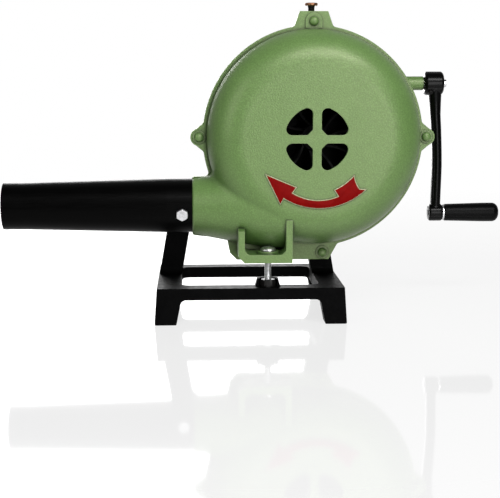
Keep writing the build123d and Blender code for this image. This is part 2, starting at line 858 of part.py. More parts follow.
# ---------------------------------------------------------------- pipe
def blast_pipe():
    root, mouth = -outlet_end, -outlet_end - pipe_length
    turn_in, turn_out = root - pipe_root_straight, mouth + pipe_mouth_straight
    outline = polygon(
        (root, pipe_root_radius), (turn_in, pipe_root_radius), (turn_out, pipe_mouth_radius),
        (mouth, pipe_mouth_radius), (mouth, pipe_mouth_radius - pipe_wall),
        (turn_out, pipe_mouth_radius - pipe_wall), (turn_in, pipe_root_radius - pipe_wall),
        (root, pipe_root_radius - pipe_wall),
    )
    tube = Pos(0, 0, -outlet_drop) * revolve(outline, Axis.X)
    return tube - screw_hole(pipe_screw_radius + bolt_hole_clearance)


def pipe_screw():
    seat = -pipe_root_radius
    head = flat_xz(Rot(0, 0, 30) * hexagon(pipe_screw_flats), seat - pipe_screw_head, seat)
    corners = pipe_screw_flats / (2 * cos(radians(30)))
    chamfer = turned_y(
        (0, seat), (corners, seat), (corners, seat - pipe_screw_head + pipe_screw_chamfer),
        (corners - pipe_screw_chamfer, seat - pipe_screw_head), (0, seat - pipe_screw_head),
    )
    shank = rod_y(pipe_screw_radius, seat, seat + pipe_screw_length)
    return along_screw((head & chamfer) + shank)


# ---------------------------------------------------------------- stand
def portal(y_front, y_back):
    """Two legs and the rail between them."""
    left, right = stand_left, stand_left + stand_width
    inner_left, inner_right = left + side_rail, right - side_rail
    outline = polygon(
        (left, stand_top), (left - leg_splay, floor_z), (left - leg_splay + foot_width, floor_z),
        (inner_left, rail_bottom), (inner_right, rail_bottom),
        (right + leg_splay - foot_width, floor_z), (right + leg_splay, floor_z),
        (right, stand_top),
    )
    for x in (inner_left, inner_right):
        outline = corner(outline, x, rail_bottom, leg_round)
    for x in (left - leg_splay, left - leg_splay + foot_width,
              right + leg_splay - foot_width, right + leg_splay):
        outline = corner(outline, x, floor_z, foot_edge)
    return flat_xz(outline, y_front, y_back)


def stand_deck():
    """The flat frame with its open window."""
    left, right = stand_left, stand_left + stand_width
    front, back = stand_front, stand_front + stand_depth
    deck = polygon((left, front), (right, front), (right, back), (left, back))
    window = polygon(
        (left + side_rail, front + front_rail), (right - side_rail, front + front_rail),
        (right - side_rail, back - rear_rail), (left + side_rail, back - rear_rail),
    )
    window = fillet(window.vertices(), window_corner)
    return flat_xy(deck - window, rail_bottom, stand_top)


def posts_and_saddle():
    """Two leaning posts and the bar between them that the casing is bolted to."""
    left, right, shift = post_left, post_right, post_shift
    rise = saddle_top - stand_top
    low = rail_bottom + past
    outline = polygon(
        (left, low), (left, stand_top), (left + shift, saddle_top), (right - shift, saddle_top),
        (right, stand_top), (right, low), (right - post_width, low),
        (right - post_width, stand_top),
        (right - post_width - shift * (saddle_bottom - stand_top) / rise, saddle_bottom),
        (left + post_width + shift * (saddle_bottom - stand_top) / rise, saddle_bottom),
        (left + post_width, stand_top), (left + post_width, low),
    )
    for x in (left + post_width + shift, right - post_width - shift):
        outline = corner(outline, x, saddle_bottom, post_foot_round)
    for x in (left + shift, right - shift):
        outline = corner(outline, x, saddle_top, post_foot_round)
    frame = flat_xz(outline, post_front, post_front + post_depth)
    relief = block(left + post_width + shift, right - post_width - shift,
                   post_front + saddle_depth, post_front + post_depth + past,
                   saddle_bottom - past, saddle_top + past)
    return frame - relief


def post_gussets():
    """Fillets between the posts' faces and the deck."""
    reach = post_foot_round
    lean = reach * tan(radians(post_lean))
    width = post_width - lean
    gussets = []
    for x_left in (post_left + lean, post_right - lean - width):
        for face, side in ((post_front, -1), (post_front + post_depth, 1)):
            wedge = polygon(
                (face - side * past, stand_top - past), (face + side * reach, stand_top - past),
                (face + side * reach, stand_top), (face, stand_top + reach),
                (face - side * past, stand_top + reach),
            )
            hollow = Pos(face + side * reach, stand_top + reach) * Circle(reach)
            gussets.append(flat_yz(wedge - hollow, x_left, x_left + width))
    return gussets


def level_boss():
    """The raised boss on the front rail, with a pocket that the lock nut sits in."""
    half_base, half_top = level_boss_base / 2, level_boss_top / 2
    boss_top = stand_top + level_boss_height
    outline = polygon(
        (level_x - half_base, rail_bottom), (level_x + half_base, rail_bottom),
        (level_x + half_base, stand_top), (level_x + half_top, boss_top),
        (level_x - half_top, boss_top), (level_x - half_base, stand_top),
    )
    boss = flat_xz(outline, level_y, level_y + level_boss_depth)
    pocket_radius = level_nut_flats / (2 * cos(radians(30))) + level_nut_room
    return boss - rod_z(pocket_radius, stand_top, boss_top + past, level_x, level_y)


def stand():
    back = stand_front + stand_depth
    body = portal(stand_front, stand_front + front_rail) + portal(back - rear_rail, back)
    body += stand_deck()
    body += posts_and_saddle()
    for gusset in post_gussets():
        body += gusset
    body += level_boss()
    body -= rod_z(level_radius + seated, rail_bottom - past, stand_top + past, level_x, level_y)
    for x in saddle_bolt_xs:
        body -= rod_y(saddle_bolt_radius + bolt_hole_clearance, post_front - past,
                      post_front + post_depth, x, saddle_z)
    return body


def level_bolt():
    seat = bracket_floor_top + level_pad_height
    top = seat + level_head_height
    head = turned_z(
        (0, seat), (level_head_radius, seat),
        *[(level_head_radius * r, seat + level_head_height * h) for r, h in mushroom_shares],
        (0, top), x=level_x, y=level_y,
    )
    return head + rod_z(level_radius, rail_bottom - bolt_tail, seat, level_x, level_y)


def level_nut():
    nut = Pos(level_x, level_y) * hexagon(level_nut_flats)
    nut = flat_xy(nut, stand_top, stand_top + level_nut_height)
    return nut - rod_z(level_radius + seated, stand_top - past, stand_top + 2 * level_nut_height,
                       level_x, level_y)


def saddle_bolts():
    bolts = []
    seat = post_front + saddle_depth
    for x in saddle_bolt_xs:
        head = flat_xz(Pos(x, saddle_z) * hexagon(saddle_bolt_flats), seat, seat + saddle_bolt_head)
        shank = rod_y(saddle_bolt_radius, post_front - saddle_bolt_grip + end_gap, seat,
                      x, saddle_z)
        bolts.append(head + shank)
    return Compound(children=bolts)


# ---------------------------------------------------------------- fan and worm shaft
def worm_shaft():
    y0, y1 = crank_y - worm_length / 2, crank_y + worm_length / 2
    body = worm(y0, y1) + rod_y(shaft_radius, fan_hub_front, y0)
    body += rod_y(shaft_radius, y1, case_back - end_gap)
    return body + rod_y(fan_thread_radius, shaft_front, fan_hub_front)


def worm(y0, y1):
    """The worm itself, with its threads cut off square at both ends."""
    body = rod_y(worm_root_radius, y0 - worm_lead / 2, y1 + worm_lead / 2)
    for start in range(worm_starts):
        body += worm_thread(y0 - worm_lead / 4, 360.0 * start / worm_starts)
    return body & rod_y(2 * worm_tip_radius, y0, y1)


def worm_thread(y_start, turn):
    """One right-handed thread of the worm, swept along its helix past both ends."""
    sink = worm_root_radius * thread_sink_share
    tip_half = tooth_half(-module)
    root_half = tooth_half(worm_pitch_radius - worm_root_radius + sink)
    path = Helix(worm_lead, worm_length + worm_lead / 2, worm_pitch_radius)
    section = polygon(
        (worm_root_radius - sink, -root_half), (worm_tip_radius, -tip_half),
        (worm_tip_radius, tip_half), (worm_root_radius - sink, root_half),
    )
    thread = sweep(Plane.XZ * section, path=path, is_frenet=True)
    return Pos(0, y_start, 0) * Rot(-90, 0, 0) * Rot(0, 0, turn) * thread


def tooth_half(depth):
    """Half the thickness of a tooth, depth below its pitch line."""
    slope = tan(radians(pressure_angle))
    return pi * module / 4 - tooth_slack / 2 + depth * slope


def wheel_section(phase):
    """The toothed outline of the worm wheel, turned by phase degrees."""
    points = []
    step = 2 * pi / wheel_teeth
    levels = (
        (wheel_root_radius, tooth_half(wheel_pitch_radius - wheel_root_radius)),
        (wheel_tip_radius, tooth_half(-module)),
    )
    for tooth in range(wheel_teeth):
        centre = tooth * step + radians(phase)
        for radius, half in (levels[0], levels[1]):
            points.append((radius, centre - half / radius))
        for radius, half in (levels[1], levels[0]):
            points.append((radius, centre + half / radius))
    return [(radius * cos(angle), radius * sin(angle)) for radius, angle in points]


def worm_wheel():
    twist = degrees(wheel_face * tan(radians(lead_angle)) / wheel_pitch_radius)
    half = wheel_face / 2
    sections = []
    for x, turn in ((-half, -twist / 2), (half, twist / 2)):
        plane = Plane((x, crank_y, crank_rise), x_dir=(0, 1, 0), z_dir=(1, 0, 0))
        sections.append(plane * polygon(*wheel_section(wheel_phase + turn)))
    body = loft(sections, ruled=True)
    rim_inner = wheel_root_radius - wheel_rim
    for x0, x1 in ((-half - past, -wheel_web / 2), (wheel_web / 2, half + past)):
        body -= rod_x(rim_inner, x0, x1, crank_y, crank_rise)
    body += rod_x(wheel_hub_radius, wheel_hub_left, wheel_hub_right, crank_y, crank_rise)
    body -= rod_x(crank_radius + seated, -outlet_end, outlet_end, crank_y, crank_rise)
    return body - wheel_pin_form(wheel_pin_radius + seated, 2 * wheel_hub_radius)


def wheel_pin_form(radius, half_length):
    return rod_z(radius, crank_rise - half_length, crank_rise + half_length, wheel_pin_x, crank_y)


def wheel_pin():
    return wheel_pin_form(wheel_pin_radius, wheel_hub_radius - wheel_pin_inset)


def ball_bearing(y, inner):
    """The inner or the outer ring of a ball bearing that starts at y."""
    middle = y + bearing_width / 2
    pitch = (bearing_outer + shaft_radius) / 2
    groove = Pos(0, middle, 0) * Rot(90, 0, 0) * Torus(pitch, ball_radius + ball_play)
    if inner:
        low, high = shaft_radius + seated, shaft_radius + bearing_ring
    else:
        low, high = bearing_outer - bearing_ring, bearing_outer
    ring = rod_y(high, y, y + bearing_width) - rod_y(low, y - past, y + bearing_width + past)
    return ring - groove


def bearing_inner_rings():
    return Compound(children=[ball_bearing(y, True) for y in (front_bearing_y, rear_bearing_y)])


def bearing_outer_rings():
    return Compound(children=[ball_bearing(y, False) for y in (front_bearing_y, rear_bearing_y)])


def bearing_balls():
    pitch = (bearing_outer + shaft_radius) / 2
    balls = []
    for y in (front_bearing_y, rear_bearing_y):
        for number in range(ball_count):
            angle = 2 * pi * number / ball_count
            centre = Pos(pitch * cos(angle), y + bearing_width / 2, pitch * sin(angle))
            balls.append(centre * Sphere(ball_radius))
    return Compound(children=balls)


def shaft_seal():
    y0 = rear_depth - casing_wall
    ring = rod_y(seal_radius - seated, y0, y0 + seal_width)
    return ring - rod_y(shaft_radius + running, y0 - past, y0 + seal_width + past)


def cap_screw_spots():
    spread = cap_screw_circle * sin(radians(45))
    return [(sx * spread, sz * spread) for sx in (-1, 1) for sz in (-1, 1)]


def bearing_cap():
    back = case_back + bearing_cap_thickness
    cap = turned_y(
        (0, case_back), (bearing_cap_radius, case_back),
        (bearing_cap_radius, back - bearing_cap_edge),
        (bearing_cap_radius - bearing_cap_edge, back), (0, back),
    )
    for x, z in cap_screw_spots():
        cap -= rod_y(cap_screw_radius + bolt_hole_clearance, case_back - past, back + past,
                     x, z)
    return cap


def bearing_cap_screws():
    screws = []
    seat = case_back + bearing_cap_thickness
    for x, z in cap_screw_spots():
        top = seat + cap_screw_head_height
        head = turned_y(
            (0, seat), (cap_screw_head, seat), (cap_screw_head, top - screw_head_edge),
            (cap_screw_head - screw_head_edge, top), (0, top), x=x, z=z,
        )
        shank = rod_y(cap_screw_radius, case_back - cap_screw_depth + end_gap, seat, x, z)
        screws.append(head + shank)
    return Compound(children=screws)


def fan_plate():
    """The fan's back plate with its hub."""
    plate_front = fan_plate_back - fan_plate_thickness
    body = rod_y(fan_radius, plate_front, fan_plate_back)
    body += turned_y(
        (0, fan_hub_front), (fan_hub_radius - fan_hub_edge, fan_hub_front),
        (fan_hub_radius, fan_hub_front + fan_hub_edge),
        (fan_hub_radius, plate_front - fan_hub_fillet),
        (fan_hub_radius + fan_hub_fillet, plate_front),
        (fan_hub_radius + fan_hub_fillet, fan_plate_back),
        (fan_hub_radius, fan_plate_back + fan_hub_length), (0, fan_plate_back + fan_hub_length),
    )
    return body - rod_y(shaft_radius + seated, -front_depth, 2 * rear_depth)


def fan_blades():
    """Bent blades, welded to the plate and cut back to a cone at the fan's eye."""
    foot = fan_plate_back - fan_plate_thickness - seated
    hub = fan_hub_radius + seated
    room = turned_y(
        (hub + fan_hub_fillet, foot), (hub, foot - fan_hub_fillet),
        (hub, fan_hub_front + fan_hub_edge), (fan_blade_slope_radius, fan_blade_front),
        (fan_radius, fan_blade_front), (fan_radius, foot),
    )
    middle = Pos(fan_radius / 2, fan_blade_rise - fan_blade_bow)
    ring = middle * Circle(fan_blade_bow + fan_blade / 2)
    ring -= middle * Circle(fan_blade_bow - fan_blade / 2)
    side = Pos(fan_radius / 2, fan_radius / 2 - fan_blade_rise) * Rectangle(
        fan_radius + fan_blade_rise, fan_radius)
    blade = flat_xz(ring & side, fan_blade_front, foot) & room
    turns = [360.0 * number / fan_blade_count for number in range(fan_blade_count)]
    return Compound(children=[Rot(0, turn, 0) * blade for turn in turns])


def fan_nut():
    nut = flat_xz(hexagon(fan_nut_flats), fan_hub_front - fan_nut_height, fan_hub_front)
    return nut - rod_y(fan_thread_radius + seated, -front_depth, 0)


# ---------------------------------------------------------------- crank
def crank_shaft():
    body = rod_x(crank_radius, crank_left_end, hub_right, crank_y, crank_rise)
    body += rod_x(shaft_stub_radius, hub_right, hub_right + shaft_stub_length, crank_y, crank_rise)
    return body - wheel_pin_form(wheel_pin_radius + seated, 2 * wheel_hub_radius)


def crank_bush_outer():
    bush = rod_x(bush_radius_outer() - seated, tube_end - bush_length_outer, tube_end,
                 crank_y, crank_rise)
    return bush - rod_x(crank_radius + running, 0, tube_end + past, crank_y, crank_rise)


def crank_bush_cover():
    right = case_left - gasket_thickness
    outer = crank_radius + running + bush_wall_cover
    bush = rod_x(outer, right - bush_length_cover, right, crank_y, crank_rise)
    return bush - rod_x(crank_radius + running, -outlet_end, 0, crank_y, crank_rise)


def wheel_spacers():
    bore = rod_x(crank_radius + running, -outlet_end, outlet_end, crank_y, crank_rise)
    left = rod_x(spacer_radius, case_left - gasket_thickness + face_gap, wheel_hub_left - face_gap / 2,
                 crank_y, crank_rise)
    right = rod_x(spacer_radius, wheel_hub_right + face_gap / 2, case_inner_right - face_gap,
                  crank_y, crank_rise)
    return Compound(children=[left - bore, right - bore])


def crank_arm():
    hub = turned_x(
        (hub_left, 0), (hub_left, hub_radius - hub_chamfer), (hub_left + hub_chamfer, hub_radius),
        (hub_right - hub_chamfer, hub_radius), (hub_right, hub_radius - hub_chamfer),
        (hub_right, 0), y=crank_y, z=crank_rise,
    )
    eye = turned_x(
        (eye_left, 0), (eye_left, eye_radius - eye_chamfer), (eye_left + eye_chamfer, eye_radius),
        (eye_right - eye_chamfer, eye_radius), (eye_right, eye_radius - eye_chamfer),
        (eye_right, 0), y=crank_y, z=grip_z,
    )
    body = arm_blade() + hub + eye
    body -= rod_x(crank_radius + seated, 0, 2 * outlet_end, crank_y, crank_rise)
    body -= rod_x(grip_pin_radius + seated, 0, 2 * outlet_end, crank_y, grip_z)
    return body - along_set_screw(rod_y(set_screw_radius + seated, -2 * hub_radius, 0))


def arm_blade():
    """The forged arm between hub and eye, a little bowed away from the casing."""
    sections = []
    for share, offset, thickness, breadth in arm_stations:
        plane = Plane((arm_centre + offset, crank_y, crank_rise - share * arm_length),
                      x_dir=(1, 0, 0), z_dir=(0, 0, -1))
        sections.append(plane * RectangleRounded(thickness, breadth, arm_corner))
    return loft(sections)


def along_set_screw(solid):
    """Turns a solid that lies along -Y from an axis to the set screw's place in the hub."""
    return Pos(set_screw_x, crank_y, crank_rise) * Rot(set_screw_angle, 0, 0) * solid


def hub_set_screw():
    seat = -hub_radius - face_gap
    top = seat - set_screw_stand
    shank = rod_y(set_screw_radius, seat, -crank_radius - face_gap)
    head = turned_y(
        (0, seat), (set_screw_head, seat), (set_screw_head, top + set_screw_edge),
        (set_screw_head - set_screw_edge, top), (0, top),
    )
    return along_set_screw(shank + head)


def grip_pin():
    end = grip_right - grip_cap_length
    body = rod_x(grip_pin_radius, eye_left - grip_pin_end, end, crank_y, grip_z)
    return body + rod_x(grip_pin_head, end - grip_pin_head_length, end, crank_y, grip_z)


def grip_washer():
    washer = rod_x(washer_radius, eye_right, eye_right + washer_thickness, crank_y, grip_z)
    return washer - rod_x(grip_pin_radius + seated, 0, 2 * outlet_end, crank_y, grip_z)


def crank_grip():
    body_end = grip_right - grip_end_round
    outline = polygon(
        (grip_left, 0), (grip_left, grip_root_radius - grip_root_edge),
        (grip_left + grip_root_edge, grip_root_radius),
        (body_end - grip_straight, grip_end_radius), (body_end, grip_end_radius), (body_end, 0),
    )
    body = Pos(0, crank_y, grip_z) * revolve(outline, Axis.X)
    body -= rod_x(grip_pin_radius + running, 0, grip_right, crank_y, grip_z)
    socket_start = grip_right - grip_cap_length - grip_pin_head_length - 4 * face_gap
    return body - rod_x(grip_socket_radius, socket_start, grip_right, crank_y, grip_z)


def grip_end_cap():
    body_end = grip_right - grip_end_round
    outline = polygon((body_end, 0), (body_end, grip_end_radius), (grip_right, grip_end_radius),
                      (grip_right, 0))
    dome = revolve(corner(outline, grip_right, grip_end_radius, grip_end_round - grip_cap_rim), Axis.X)
    spigot_start = grip_right - grip_cap_length + face_gap
    spigot = rod_x(grip_socket_radius - seated, spigot_start, body_end)
    return Pos(0, crank_y, grip_z) * (dome + spigot)


# ---------------------------------------------------------------- the whole part
def place(solid):
    return Pos(origin_x, origin_y, axis_height) * solid


PIECES = {
    "front_housing": front_housing,
    "rear_housing": rear_housing,
    "direction_arrow": direction_arrow,
    "housing_bolts": housing_bolts,
    "housing_nuts": housing_nuts,
    "oil_cup": oil_cup,
    "oil_cap": oil_cap,
    "blast_pipe": blast_pipe,
    "pipe_screw": pipe_screw,
    "stand": stand,
    "level_bolt": level_bolt,
    "level_nut": level_nut,
    "saddle_bolts": saddle_bolts,
    "case_gasket": case_gasket,
    "case_cover": case_cover,
    "cover_screws": cover_screws,
    "worm_shaft": worm_shaft,
    "fan_plate": fan_plate,
    "fan_blades": fan_blades,
    "fan_nut": fan_nut,
    "bearing_inner_rings": bearing_inner_rings,
    "bearing_outer_rings": bearing_outer_rings,
    "bearing_balls": bearing_balls,
    "shaft_seal": shaft_seal,
    "bearing_cap": bearing_cap,
    "bearing_cap_screws": bearing_cap_screws,
    "crank_shaft": crank_shaft,
    "worm_wheel": worm_wheel,
    "wheel_pin": wheel_pin,
    "wheel_spacers": wheel_spacers,
    "crank_bush_outer": crank_bush_outer,
    "crank_bush_cover": crank_bush_cover,
    "crank_arm": crank_arm,
    "hub_set_screw": hub_set_screw,
    "grip_pin": grip_pin,
    "grip_washer": grip_washer,
    "crank_grip": crank_grip,
    "grip_end_cap": grip_end_cap,
}

os.makedirs("parts", exist_ok=True)
for node, make in PIECES.items():
    export_step(place(make()), "parts/" + node + ".step")
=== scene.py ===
import json
import math

import bmesh
import bpy
from mathutils import Matrix, Vector


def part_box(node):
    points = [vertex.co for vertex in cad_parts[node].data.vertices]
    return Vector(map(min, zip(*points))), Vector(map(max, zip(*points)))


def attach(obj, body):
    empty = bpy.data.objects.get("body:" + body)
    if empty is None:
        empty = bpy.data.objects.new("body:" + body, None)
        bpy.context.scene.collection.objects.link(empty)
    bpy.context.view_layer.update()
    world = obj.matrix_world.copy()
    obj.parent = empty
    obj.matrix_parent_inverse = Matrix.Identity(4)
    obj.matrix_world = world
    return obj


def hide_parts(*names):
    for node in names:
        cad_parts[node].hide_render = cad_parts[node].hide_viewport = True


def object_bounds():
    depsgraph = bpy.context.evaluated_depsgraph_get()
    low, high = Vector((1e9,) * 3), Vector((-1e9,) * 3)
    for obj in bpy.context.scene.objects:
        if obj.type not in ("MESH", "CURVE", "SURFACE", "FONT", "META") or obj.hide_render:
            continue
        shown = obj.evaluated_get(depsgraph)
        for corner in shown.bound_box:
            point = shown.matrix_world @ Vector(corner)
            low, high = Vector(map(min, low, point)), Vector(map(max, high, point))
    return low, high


# Dresses the hand crank blower for its looks: painted castings, a black forged crank, a black pipe
# and plated fasteners, in a plain white studio, seen as in the reference photograph.

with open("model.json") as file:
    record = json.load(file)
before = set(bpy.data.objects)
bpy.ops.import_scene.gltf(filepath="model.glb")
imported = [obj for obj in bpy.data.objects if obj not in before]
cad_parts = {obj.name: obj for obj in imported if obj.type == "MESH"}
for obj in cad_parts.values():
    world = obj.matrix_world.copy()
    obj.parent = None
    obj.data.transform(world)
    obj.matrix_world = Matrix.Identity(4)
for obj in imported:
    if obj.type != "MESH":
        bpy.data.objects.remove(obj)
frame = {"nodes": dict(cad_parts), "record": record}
cad_low, cad_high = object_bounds()
nodes = frame["nodes"]
MM = 0.001
TINY = 1e-6                  # metres; closer points are one


# ---------------------------------------------------------------- places, from the frame
def centre(node):
    """The middle of a node's box."""
    low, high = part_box(node)
    return (low + high) / 2


fan_axis = centre("bearing_cap")
joint_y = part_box("front_housing")[1].y
floor_z = cad_low.z


def spot(x, y, z):
    """A point given in millimetres from the fan's axis and the casing's joint, in metres."""
    return Vector((fan_axis.x + x * MM, joint_y + y * MM, fan_axis.z + z * MM))


# ---------------------------------------------------------------- materials
def mapped(tree, value, *limits):
    """A value mapped from the first two limits to the last two, and held at them."""
    node = tree.nodes.new("ShaderNodeMapRange")
    for name, limit in zip(("From Min", "From Max", "To Min", "To Max"), limits):
        node.inputs[name].default_value = limit
    tree.links.new(value, node.inputs["Value"])
    return node.outputs["Result"]


class Paint:
    """A procedural material: a Principled shader with helpers that wire its textures."""

    samples = 6              # of each bevel and each look into the corners
    fineness = 0.55          # how strong the finer blots of a noise are
    noise_low, noise_high = 0.3, 0.7         # where a noise mostly stays

    def __init__(self, name, colour, roughness, metallic=0.0, specular=0.5):
        self.material = bpy.data.materials.new(name)
        self.material.use_nodes = True
        self.tree = self.material.node_tree
        self.shader = self.tree.nodes["Principled BSDF"]
        self.shader.inputs["Base Color"].default_value = (*colour, 1.0)
        self.shader.inputs["Roughness"].default_value = roughness
        self.shader.inputs["Metallic"].default_value = metallic
        self.shader.inputs["Specular IOR Level"].default_value = specular
        self.normal = None
        self.place = self.add("ShaderNodeTexCoord").outputs["Object"]

    def add(self, kind, **settings):
        """Adds a node of that kind with these settings."""
        node = self.tree.nodes.new(kind)
        for key, value in settings.items():
            setattr(node, key, value)
        return node

    def link(self, output, socket):
        """Joins an output to a socket."""
        self.tree.links.new(output, socket)

    def noise(self, size_mm, detail=3.0):
        """A noise whose largest blots are about that wide."""
        node = self.add("ShaderNodeTexNoise")
        node.inputs["Scale"].default_value = 1.0 / (size_mm * MM)
        node.inputs["Detail"].default_value = detail
        node.inputs["Roughness"].default_value = self.fineness
        self.link(self.place, node.inputs["Vector"])
        return node.outputs["Fac"]

    def ramp(self, factor, low, high, bottom=0.0, top=1.0):
        """A factor from low to high, mapped to bottom and top and held at them."""
        return mapped(self.tree, factor, low, high, bottom, top)

    def partly(self, mask, share):
        """A mask that reaches only that share where it was 1."""
        return self.ramp(mask, 0.0, 1.0, 0.0, share)

    def mix_colour(self, factor, first, second):
        """The first colour where the factor is 0, and the second where it is 1."""
        node = self.add("ShaderNodeMix", data_type="RGBA")
        self.link(factor, node.inputs["Factor"])
        for socket, value in ((node.inputs["A"], first), (node.inputs["B"], second)):
            if isinstance(value, tuple):
                socket.default_value = (*value, 1.0)
            else:
                self.link(value, socket)
        return node.outputs["Result"]

    def colour_from(self, output):
        """Takes the colour from a texture."""
        self.link(output, self.shader.inputs["Base Color"])

    def roughness_from(self, noise, low, high):
        """Lets the roughness follow a noise from low to high."""
        self.link(self.ramp(noise, self.noise_low, self.noise_high, low, high),
                  self.shader.inputs["Roughness"])

    def soft_edges(self, radius_mm):
        """Rounds the shading of sharp edges, as paint and casting sand do."""
        bevel = self.add("ShaderNodeBevel", samples=self.samples)
        bevel.inputs["Radius"].default_value = radius_mm * MM
        self.normal = bevel.outputs["Normal"]
        self.link(self.normal, self.shader.inputs["Normal"])

    def bump(self, height, depth_mm, strength):
        """Adds relief to the shading, on top of what is there."""
        node = self.add("ShaderNodeBump")
        node.inputs["Strength"].default_value = strength
        node.inputs["Distance"].default_value = depth_mm * MM
        self.link(height, node.inputs["Height"])
        if self.normal:
            self.link(self.normal, node.inputs["Normal"])
        self.normal = node.outputs["Normal"]
        self.link(self.normal, self.shader.inputs["Normal"])

    def painted_edge_highlights(self, radius_mm, low, high):
        """A mask of the edges, for painted highlights: 1 where the rounded normal leaves the true
        one.
        """
        bevel = self.add("ShaderNodeBevel", samples=self.samples)
        bevel.inputs["Radius"].default_value = radius_mm * MM
        geometry = self.add("ShaderNodeNewGeometry")
        product = self.add("ShaderNodeVectorMath", operation="DOT_PRODUCT")
        self.link(bevel.outputs["Normal"], product.inputs[0])
        self.link(geometry.outputs["Normal"], product.inputs[1])
        return self.ramp(product.outputs["Value"], high, low)

    def crevices(self, reach_mm, low, high):
        """A mask of inner corners: 1 where other surfaces stand close by."""
        node = self.add("ShaderNodeAmbientOcclusion", samples=self.samples)
        node.inputs["Distance"].default_value = reach_mm * MM
        return self.ramp(node.outputs["AO"], high, low)


def brightened(colour, factor):
    """A colour times a factor, held at 1."""
    return tuple(min(1.0, channel * factor) for channel in colour)


def green_enamel():
    """Pale green enamel over sand-cast iron: fine grain, with painted highlights on the edges and
    painted shade in the crevices.
    """
    green = (0.126, 0.230, 0.066)
    paint = Paint("green_enamel", green, 0.38, specular=0.85)
    paint.shader.inputs["Specular Tint"].default_value = (1.0, 1.0, 0.74, 1.0)
    mottle = paint.ramp(paint.noise(30.0, 2.0), 0.3, 0.7)
    base = paint.mix_colour(mottle, brightened(green, 0.97), brightened(green, 1.03))
    grain = paint.ramp(paint.noise(1.6, 1.0), 0.42, 0.68)
    base = paint.mix_colour(paint.partly(grain, 0.34), base, brightened(green, 1.9))
    # painted highlight: the edges are coloured a lighter green, as if lit
    edges = paint.painted_edge_highlights(1.2, 0.92, 0.995)
    base = paint.mix_colour(paint.partly(edges, 0.7), base, (0.26, 0.37, 0.17))
    # painted shade: near-black green in the inner corners and along joints, where shade falls
    base = paint.mix_colour(paint.crevices(4.5, 0.55, 0.97), base, (0.010, 0.030, 0.006))
    # painted shade: a wide darker band along the casing's deep inner corners, such as next to the
    # flange
    painted_deep_shade = paint.crevices(22.0, 0.3, 0.95)
    paint.colour_from(paint.mix_colour(paint.partly(painted_deep_shade, 0.52), base, (0.035, 0.085, 0.02)))
    paint.roughness_from(paint.noise(1.3), 0.32, 0.5)
    paint.soft_edges(1.0)
    paint.bump(paint.noise(1.7, 2.0), 0.28, 0.9)
    paint.bump(paint.noise(26.0, 2.0), 0.9, 0.35)
    return paint.material


def black_casting():
    """Black paint over the cast stand."""
    paint = Paint("black_casting_paint", (0.0015, 0.0015, 0.0016), 0.42, specular=0.04)
    mottle = paint.ramp(paint.noise(14.0), 0.35, 0.65)
    paint.colour_from(paint.mix_colour(mottle, (0.0010, 0.0010, 0.0011), (0.002, 0.002, 0.0021)))
    paint.roughness_from(paint.noise(6.0), 0.46, 0.6)
    paint.soft_edges(1.2)
    paint.bump(paint.noise(2.2, 3.0), 0.22, 0.7)
    return paint.material


def black_tube():
    """Black paint over the rolled pipe, with faint streaks along it."""
    paint = Paint("black_tube_paint", (0.0012, 0.0012, 0.0012), 0.34, specular=0.045)
    streaks = paint.add("ShaderNodeTexNoise")
    stretch = paint.add("ShaderNodeMapping")
    stretch.inputs["Scale"].default_value = (6.0, 160.0, 160.0)
    paint.link(paint.place, stretch.inputs["Vector"])
    paint.link(stretch.outputs["Vector"], streaks.inputs["Vector"])
    paint.roughness_from(streaks.outputs["Fac"], 0.33, 0.45)
    paint.colour_from(paint.mix_colour(streaks.outputs["Fac"], (0.0008, 0.0008, 0.0008),
                                       (0.0016, 0.0016, 0.0016)))
    paint.bump(streaks.outputs["Fac"], 0.05, 0.25)
    paint.bump(paint.noise(3.0), 0.05, 0.3)
    return paint.material


def black_gloss():
    """Glossier black paint over the forged crank."""
    paint = Paint("black_gloss_paint", (0.002, 0.002, 0.002), 0.24, specular=0.14)
    paint.colour_from(paint.mix_colour(paint.noise(8.0), (0.0012, 0.0012, 0.0012),
                                       (0.0025, 0.0025, 0.0025)))
    paint.soft_edges(1.2)
    paint.bump(paint.noise(7.0, 2.0), 0.25, 0.5)
    paint.bump(paint.noise(1.6, 2.0), 0.05, 0.4)
    return paint.material


def black_plastic():
    """The grip's moulded plastic."""
    paint = Paint("black_moulded_plastic", (0.002, 0.002, 0.002), 0.38, specular=0.08)
    paint.colour_from(paint.mix_colour(paint.noise(10.0), (0.0015, 0.0015, 0.0016),
                                       (0.003, 0.003, 0.003)))
    paint.bump(paint.noise(0.9, 2.0), 0.03, 0.4)
    return paint.material


def red_enamel():
    """Brushed red paint on the arrow's face."""
    paint = Paint("red_enamel", (0.24, 0.002, 0.002), 0.45, specular=0.05)
    brush = paint.ramp(paint.noise(6.0, 4.0), 0.3, 0.7)
    paint.colour_from(paint.mix_colour(brush, (0.215, 0.002, 0.002), (0.27, 0.004, 0.003)))
    paint.bump(paint.noise(1.4, 2.0), 0.08, 0.5)
    return paint.material


def arrow_rim():
    """Pale paint on the arrow's sloping rim: partly worn paint, partly a painted highlight."""
    # painted highlight: the rim is pale all round, standing in for light caught on its slopes as
    # well as for worn paint
    paint = Paint("arrow_rim_paint", (0.50, 0.56, 0.33), 0.5, specular=0.4)
    streak = paint.ramp(paint.noise(2.5), 0.4, 0.62)
    paint.colour_from(paint.mix_colour(streak, (0.36, 0.44, 0.22), (0.62, 0.62, 0.42)))
    paint.bump(paint.noise(1.2, 2.0), 0.06, 0.5)
    return paint.material


